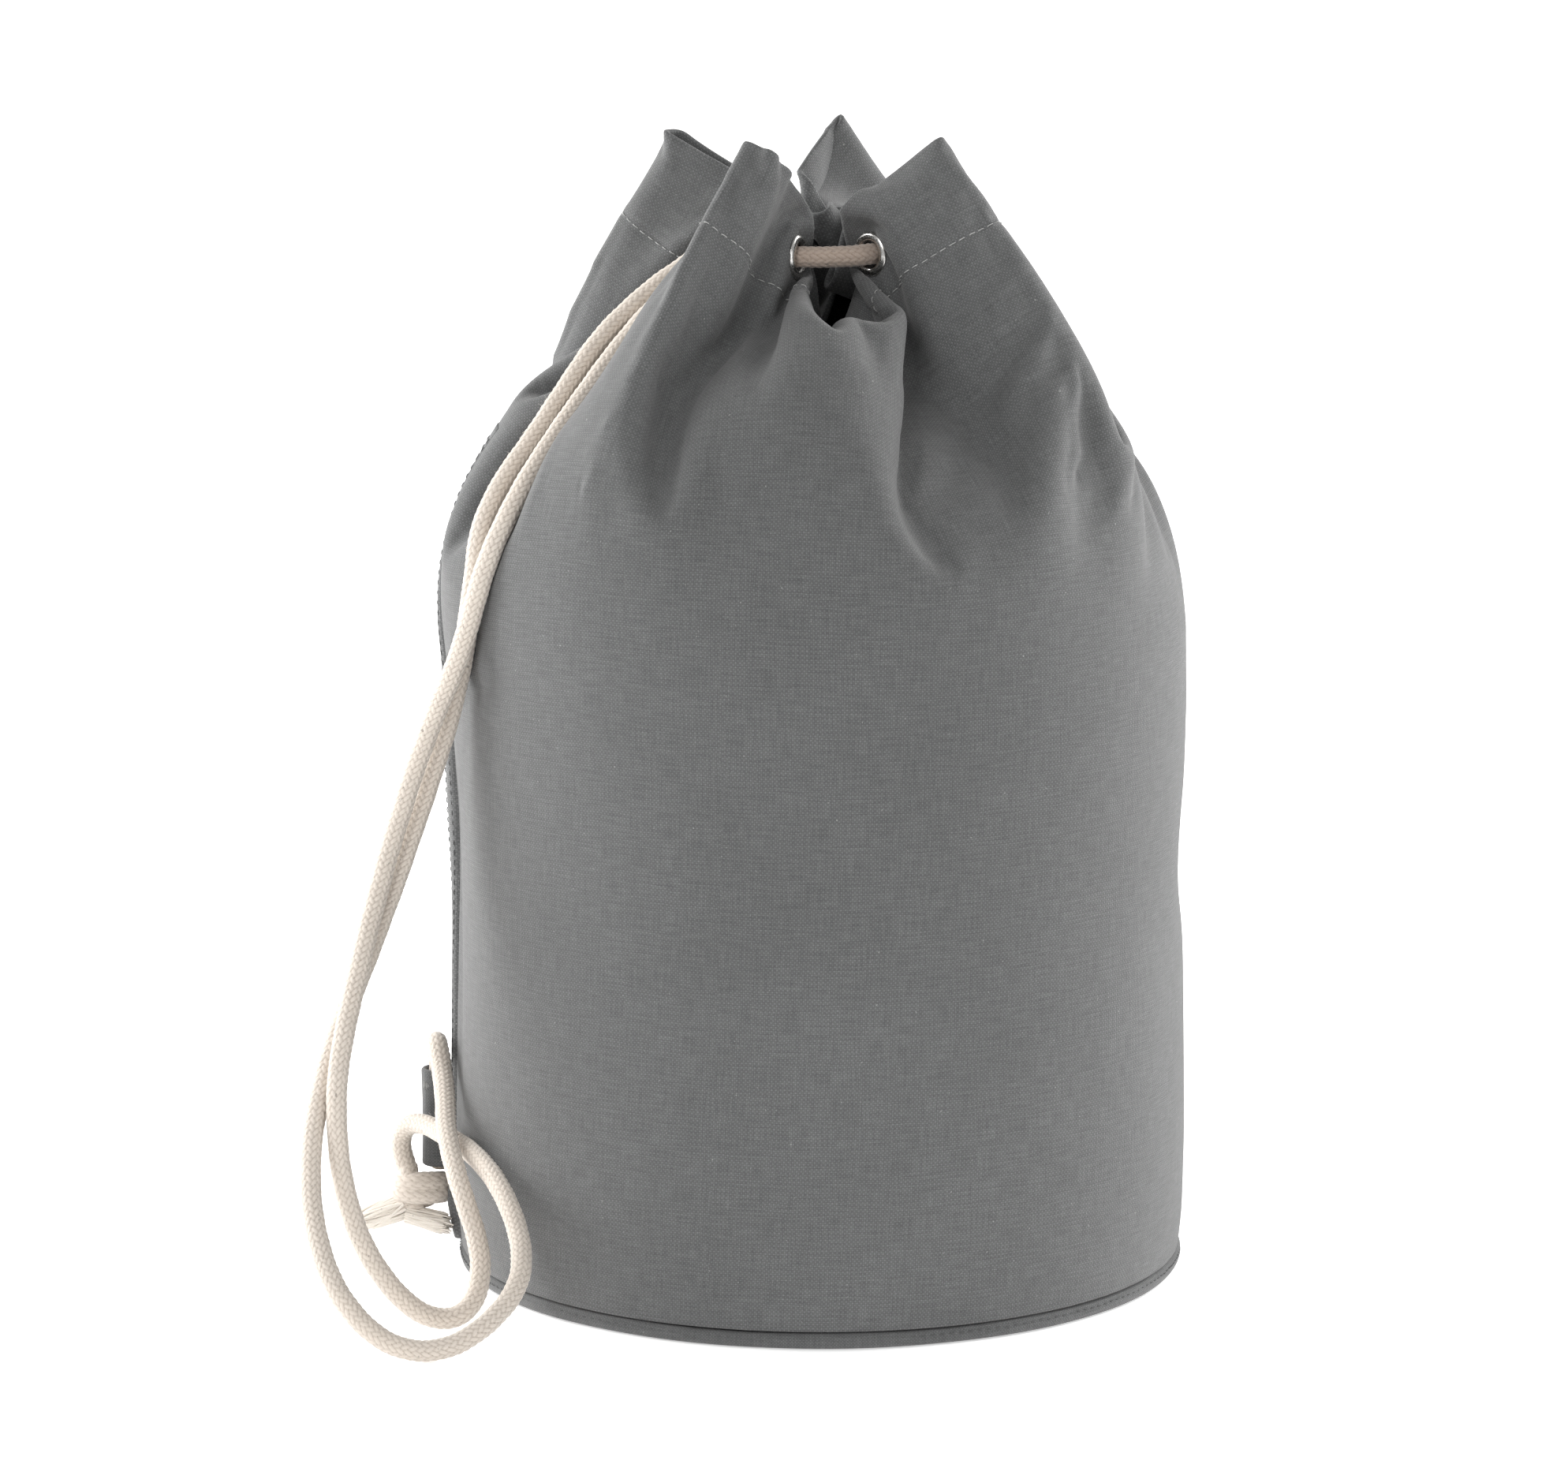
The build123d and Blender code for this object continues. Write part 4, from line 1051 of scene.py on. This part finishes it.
# the base: a rolled band under the base seam, and the round panel inside it
def swept_ring(name, profile, mat, n=360, wave=0.0, vscale=1.0):
    """a closed profile of (r, z) swept round the axis"""
    prof = np.array(profile, float)
    m = len(prof)
    a = 2 * np.pi * np.arange(n) / n
    w = wave * (np.sin(3 * a + 0.5) * 0.5 + np.sin(7 * a) * 0.3 + np.sin(13 * a + 2) * 0.25)
    dz = wave * 0.45 * (np.sin(5 * a + 1) * 0.6 + np.sin(11 * a) * 0.4)
    R = prof[None, :, 0] + w[:, None]
    Z = prof[None, :, 1] + dz[:, None] * np.clip(prof[None, :, 1] / 4.0, 0, 1)
    V = np.stack([R * np.cos(a)[:, None], R * np.sin(a)[:, None], Z], -1)
    i, j = np.meshgrid(np.arange(n), np.arange(m), indexing="ij")
    inx, jn = (i + 1) % n, (j + 1) % m
    F = np.stack([i * m + j, inx * m + j, inx * m + jn, i * m + jn], -1).reshape(-1, 4)
    d = np.r_[0, np.cumsum(np.linalg.norm(np.diff(np.r_[prof, prof[:1]], axis=0), axis=1))]
    U = lambda k: k / n * 0.870
    uvl = np.stack([np.stack([U(i), d[j] / 1000], -1), np.stack([U(i + 1), d[j] / 1000], -1),
                    np.stack([U(i + 1), d[j + 1] / 1000], -1), np.stack([U(i), d[j + 1] / 1000], -1)], -2).reshape(-1, 2)
    return mesh(name, V.reshape(-1, 3), F, mat, uv_loops=uvl)


band = swept_ring("base_band", [(134.2, 0.9), (136.0, 0.35), (138.2, 0.5), (139.5, 1.3), (139.95, 2.8), (139.8, 4.4), (139.0, 5.7),
                                (137.6, 6.4), (135.8, 6.3), (134.6, 5.2), (134.1, 3.0)], TAPE, wave=0.55)
disc = swept_ring("base_disc", [(0.02, 0.7), (60.0, 0.75), (120.0, 0.7), (135.5, 0.65), (135.9, 1.6), (135.5, 2.5), (120.0, 2.5), (60.0, 2.55), (0.02, 2.5)], TAPE, n=160)


def ring_stitching(name, r, z, mat, n=230):
    L = []
    for k in range(n):
        a = 2 * np.pi * (k + np.linspace(0.08, 0.72, 5)) / n
        rr = r + np.array([-0.35, 0.1, 0.16, 0.1, -0.35])
        L.append(np.stack([rr * np.cos(a), rr * np.sin(a), np.full(5, z) + rng.normal(0, 0.08)], 1))
    return fibres(name, np.array(L), np.full(n, 0.2), mat, 4)


band_stitches = ring_stitching("base_band_stitching", 139.75, 4.3, THREAD_DARK)


# the tab: a doubled strip of canvas folded round the cord and sewn into the side seam
def tab_piece():
    cx, z0, z1, t = -147.5, 35.4, 73.6, 0.95
    mid = []
    for y in np.linspace(0, 1, 7)[:-1]:
        mid.append((-139.4 + (-144.3 + 139.4) * y, 1.1 + (4.9 - 1.1) * y ** 1.3))
    for a in np.linspace(50, 310, 27):
        mid.append((cx + 5.95 * math.cos(math.radians(a)), 5.95 * math.sin(math.radians(a))))
    for y in np.linspace(1, 0, 7)[1:]:
        mid.append((-139.4 + (-144.3 + 139.4) * y, -1.1 - (4.9 - 1.1) * y ** 1.3))
    mid = np.array(mid)
    T = np.gradient(mid, axis=0)
    T /= np.linalg.norm(T, axis=1)[:, None]
    Nn = np.stack([T[:, 1], -T[:, 0]], 1)
    zs = np.r_[z0, z0 + 0.5, z0 + 1.2, np.linspace(z0 + 3, z1 - 3, 22), z1 - 1.2, z1 - 0.5, z1]
    edge = np.minimum(zs - z0, z1 - zs)
    th = t * np.sqrt(np.clip(1 - (1 - np.clip(edge / 0.9, 0, 1)) ** 2, 0.12, 1))
    belly = 0.35 * np.sin(np.pi * (zs - z0) / (z1 - z0))
    n, m = len(zs), len(mid)
    lean = 0.5 * np.sin(zs / 6.0)[:, None]
    A = mid[None] - Nn[None] * (th + belly)[:, None, None]
    Bq = mid[None] - Nn[None] * (belly - th)[:, None, None]
    if np.hypot(*(A[n // 2, m // 2] - [cx, 0])) < np.hypot(*(Bq[n // 2, m // 2] - [cx, 0])):
        A, Bq = Bq, A
    V = np.concatenate([np.concatenate([A, np.repeat(zs[:, None, None], m, 1)], 2),
                        np.concatenate([Bq, np.repeat(zs[:, None, None], m, 1)], 2)[:, ::-1]], 1)
    q = 2 * m
    i, j = np.meshgrid(np.arange(n - 1), np.arange(q), indexing="ij")
    jn = (j + 1) % q
    F = np.stack([i * q + j, i * q + jn, (i + 1) * q + jn, (i + 1) * q + j], -1).reshape(-1, 4)
    caps = []
    for row, flip in ((0, True), (n - 1, False)):
        for k in range(m - 1):
            f = [row * q + k, row * q + k + 1, row * q + q - 2 - k, row * q + q - 1 - k]
            caps.append(f[::-1] if flip else f)
    F = np.concatenate([F, np.array(caps)])
    d = np.r_[0, np.cumsum(np.linalg.norm(np.diff(mid, axis=0), axis=1))]
    uv = np.stack([np.tile(np.r_[d, d[::-1]], n), np.repeat(zs, q)], -1) / 1000
    return mesh("tab_loop", V.reshape(-1, 3), F, TAPE, uv=uv), mid, Nn


tab, tab_mid, tab_n = tab_piece()
L = []
for k in range(9):
    z = 39.0 + k * 3.9
    for s in (1, -1):
        x, y = -142.4, s * 4.35
        q = np.linspace(0, 2.7, 5)
        L.append(np.stack([np.full(5, x), y + s * np.array([-0.2, 0.15, 0.2, 0.15, -0.2]), z + q], 1))
# one bar tack across the top of the fold
for k in range(5):
    L.append(np.stack([-153.2 + 0.5 * k + np.zeros(5), -4.4 - 0.22 * k + np.array([0.2, -0.1, -0.2, -0.1, 0.2]), 66.0 + np.linspace(0, 3.2, 5)], 1))
tab_stitches = fibres("tab_stitching", np.array(L), np.full(len(L), 0.2), THREAD, 4)


# eyelets: a rolled nickel flange with its barrel, and the washer behind the cloth
def lathe(name, k, profile, mat, n=64):
    c, p, a = eyelet_frame(k)
    z = np.array([0, 0, 1.0])
    h = np.cross(z, p)
    prof = np.array(profile, float)
    th = 2 * np.pi * np.arange(n) / n
    V = c + (h[None, None] * np.cos(th)[:, None, None] + z[None, None] * np.sin(th)[:, None, None]) * prof[None, :, 0, None] + p * prof[None, :, 1, None]
    m = len(prof)
    i, j = np.meshgrid(np.arange(n), np.arange(m), indexing="ij")
    inx, jn = (i + 1) % n, (j + 1) % m
    F = np.stack([i * m + j, i * m + jn, inx * m + jn, inx * m + j], -1).reshape(-1, 4)
    return mesh(name, V.reshape(-1, 3), F, mat)


FLANGE = [(5.2, -2.6), (5.2, -0.2), (5.3, 0.55), (5.7, 1.1), (6.4, 1.32), (7.2, 1.2), (7.9, 0.85), (8.4, 0.35), (8.5, 0.0), (8.3, -0.12),
          (6.2, -0.1), (5.7, -0.4), (5.65, -2.6)]
BACK = [(5.1, -2.75), (5.6, -3.2), (6.8, -3.25), (8.0, -3.0), (8.3, -2.65), (8.1, -2.45), (6.0, -2.45)]
metal = []
for k in EYES:
    metal.append((lathe("eyelet_flange_%d" % k, k, FLANGE, NICKEL), "eyelet_%d" % k))
    metal.append((lathe("eyelet_back_%d" % k, k, BACK, NICKEL), "eyelet_washer_%d" % k))


# the knot: two turns of the cord and a locking turn, and the two frayed ends
def knot_line():
    c = np.array([-154.6, -2.0, 0.0])
    t = np.linspace(0, 1, 130)
    ph = 2 * np.pi * (2.5 * t + 0.30)
    ends = np.clip(np.minimum(t, 1 - t) / 0.12, 0, 1)
    tuck = 0.35 + 0.65 * ends * ends * (3 - 2 * ends)
    rx, ry = (7.2 + 0.8 * np.sin(np.pi * t)) * tuck, (5.6 + 0.9 * np.sin(np.pi * t)) * tuck
    z = 30.4 - 10.0 * t + 1.3 * np.cos(ph + 0.9) - 1.2 * (1 - ends)
    return np.stack([c[0] + rx * np.cos(ph), c[1] + ry * np.sin(ph), z], 1)


def smooth_line(pts, n=80):
    pts = np.asarray(pts, float)
    d = np.r_[0, np.cumsum(np.linalg.norm(np.diff(pts, axis=0), axis=1))]
    s = np.linspace(0, d[-1], n)
    P = np.stack([np.interp(s, d, pts[:, k]) for k in range(3)], 1)
    for _ in range(30):
        P[1:-1] = (P[:-2] + 2 * P[1:-1] + P[2:]) / 4
    return P


knot = tube("knot_turns", knot_line(), 4.3, COTTON, 36, 0.6)
knot_lock = tube("knot_lock", smooth_line([(-159.5, -3.3, 37.2), (-159.6, -4.4, 34.0), (-158.6, -6.2, 30.5), (-155.8, -7.0, 27.0), (-152.6, -5.0, 24.5)]), 3.9, COTTON, 36, 0.6)
knot_core = tube("knot_core", np.array([(-155.0, -1.8, 32.0), (-154.8, -1.8, 25.0), (-155.4, -1.8, 18.5)]), 6.2, COTTON, 36, 0.6)


def brush(name, a, b, r0, r1, n, bend=(0, 0, 0), seed=1, curl=0.8):
    g = np.random.default_rng(seed)
    a, b, bend = (np.array(x, float) for x in (a, b, bend))
    d = b - a
    size = np.linalg.norm(d)
    d /= size
    x = np.cross(d, [0, 0, 1.0])
    x /= np.linalg.norm(x)
    y = np.cross(d, x)
    L, R = [], []
    t = np.linspace(0, 1, 9)
    for k in range(n):
        q, th = math.sqrt(g.uniform(0, 1)), g.uniform(0, 2 * np.pi)
        rr = (r0 + (r1 - r0) * t ** 1.4) * q
        turn = th + t * g.normal(0, 0.5)
        far = g.uniform(0.72, 1.0) if g.uniform() < 0.8 else g.uniform(0.9, 1.12)
        p = a + d * (t * size * far)[:, None] + (x * np.cos(turn)[:, None] + y * np.sin(turn)[:, None]) * rr[:, None]
        p = p + bend * (t ** 2)[:, None]
        w = g.normal(0, 1, (3, 3)) * curl
        p = p + np.sin(np.outer(t * 5.0, [1, 1.3, 0.8]) + w[0]) * w[1] * 0.22 * t[:, None]
        L.append(p)
        R.append(g.uniform(0.36, 0.66))
    return fibres(name, np.array(L), np.array(R), FIBRE, 5)


end_1 = brush("frayed_brush_1", (-160.6, -3.6, 20.0), (-177.0, -3.4, 13.2), 5.2, 4.2, 260, (0, 0, -0.2), 3, 0.7)
end_2 = brush("frayed_brush_2", (-160.2, -6.4, 16.8), (-143.8, -9.4, 13.6), 3.5, 4.0, 190, (0.6, 0, -0.6), 5, 0.9)
knot_fuzz = cord_fuzz("knot_fuzz", knot_line(), 5.0)

# -------------------------------------------------- how each piece travels
for o in (canvas, inner, outer, inner_fuzz, outer_fuzz, seam, seam_stitches):
    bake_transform(o)
for o in (hem_stitches, ring, ring_fuzz):
    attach(o, "neck")
for o, node in metal:
    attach(o, "neck")
    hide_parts(node)
for o in (band, disc, band_stitches, tab, tab_stitches):
    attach(o, "bag")
for o in (knot, knot_lock, knot_core, knot_fuzz, end_1, end_2):
    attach(o, "knot")
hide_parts("body_panel", "gathered_neck")
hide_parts("side_seam")
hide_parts("base_seam_binding")
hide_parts("base_panel")
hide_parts("cord_tab")
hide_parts("drawstring_neck_run")
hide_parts("drawstring_inner_strand")
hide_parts("drawstring_outer_strand")
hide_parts("drawstring_knot")
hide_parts("frayed_end_1")
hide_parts("frayed_end_2")

(resample(INNER_LINE, 2.0)[0] / 1000).tolist()
(resample(OUTER_LINE, 2.0)[0] / 1000).tolist()

# ------------------------------------------------------- floor and lights
def backdrop():
    prof = [(-3.2, 0.0), (1.6, 0.0)]
    for a in np.linspace(0, 90, 19)[1:]:
        prof.append((1.6 + 1.2 * math.sin(math.radians(a)), 1.2 - 1.2 * math.cos(math.radians(a))))
    prof.append((2.8, 3.6))
    V, F = [], []
    for y, z in prof:
        V += [(-4.5, y, z), (4.5, y, z)]
    for k in range(len(prof) - 1):
        F.append((2 * k, 2 * k + 1, 2 * k + 3, 2 * k + 2))
    t = Tree("paper_white")
    place = t.put("ShaderNodeTexCoord").outputs["Object"]
    n = t.noise(place, 3.0, 3.0, 0.5)
    t.give(t.bsdf.inputs["Base Color"], t.mix(t.span(n, 0.3, 0.7, 0, 1), (0.93, 0.93, 0.93), (0.91, 0.91, 0.912)))
    t.bsdf.inputs["Roughness"].default_value = 0.95
    t.bsdf.inputs["Specular IOR Level"].default_value = 0.1
    t.bsdf.inputs["Emission Color"].default_value = (1.0, 1.0, 1.0, 1.0)
    t.bsdf.inputs["Emission Strength"].default_value = 0.45
    return mesh("backdrop", np.array(V) * 1000, F, t.mat)


floor = backdrop()
world = bpy.data.worlds.new("studio")
world.use_nodes = True
world.node_tree.nodes["Background"].inputs[0].default_value = (1.0, 1.0, 1.0, 1.0)
world.node_tree.nodes["Background"].inputs[1].default_value = 0.42
scene.world = world


def area(name, place, size, power, at=(0, 0, 0.2), colour=(1, 1, 1)):
    l = bpy.data.lights.new(name, "AREA")
    l.shape = "RECTANGLE"
    l.size, l.size_y = size
    l.energy = power
    l.color = colour
    o = bpy.data.objects.new(name, l)
    o.location = place
    o.rotation_euler = (Vector(at) - Vector(place)).to_track_quat("-Z", "Y").to_euler()
    scene.collection.objects.link(o)
    return o


area("left_bank", (-1.55, 0.55, 0.75), (1.2, 1.8), 50.0)
area("right_bank", (1.55, 0.6, 0.75), (1.2, 1.8), 44.0)
area("key", (-1.1, -2.2, 2.0), (1.3, 1.3), 30.0)
area("fill", (1.6, -2.0, 0.8), (1.2, 1.2), 7.0)
scene.view_settings.view_transform = "Standard"
scene.view_settings.look = "None"
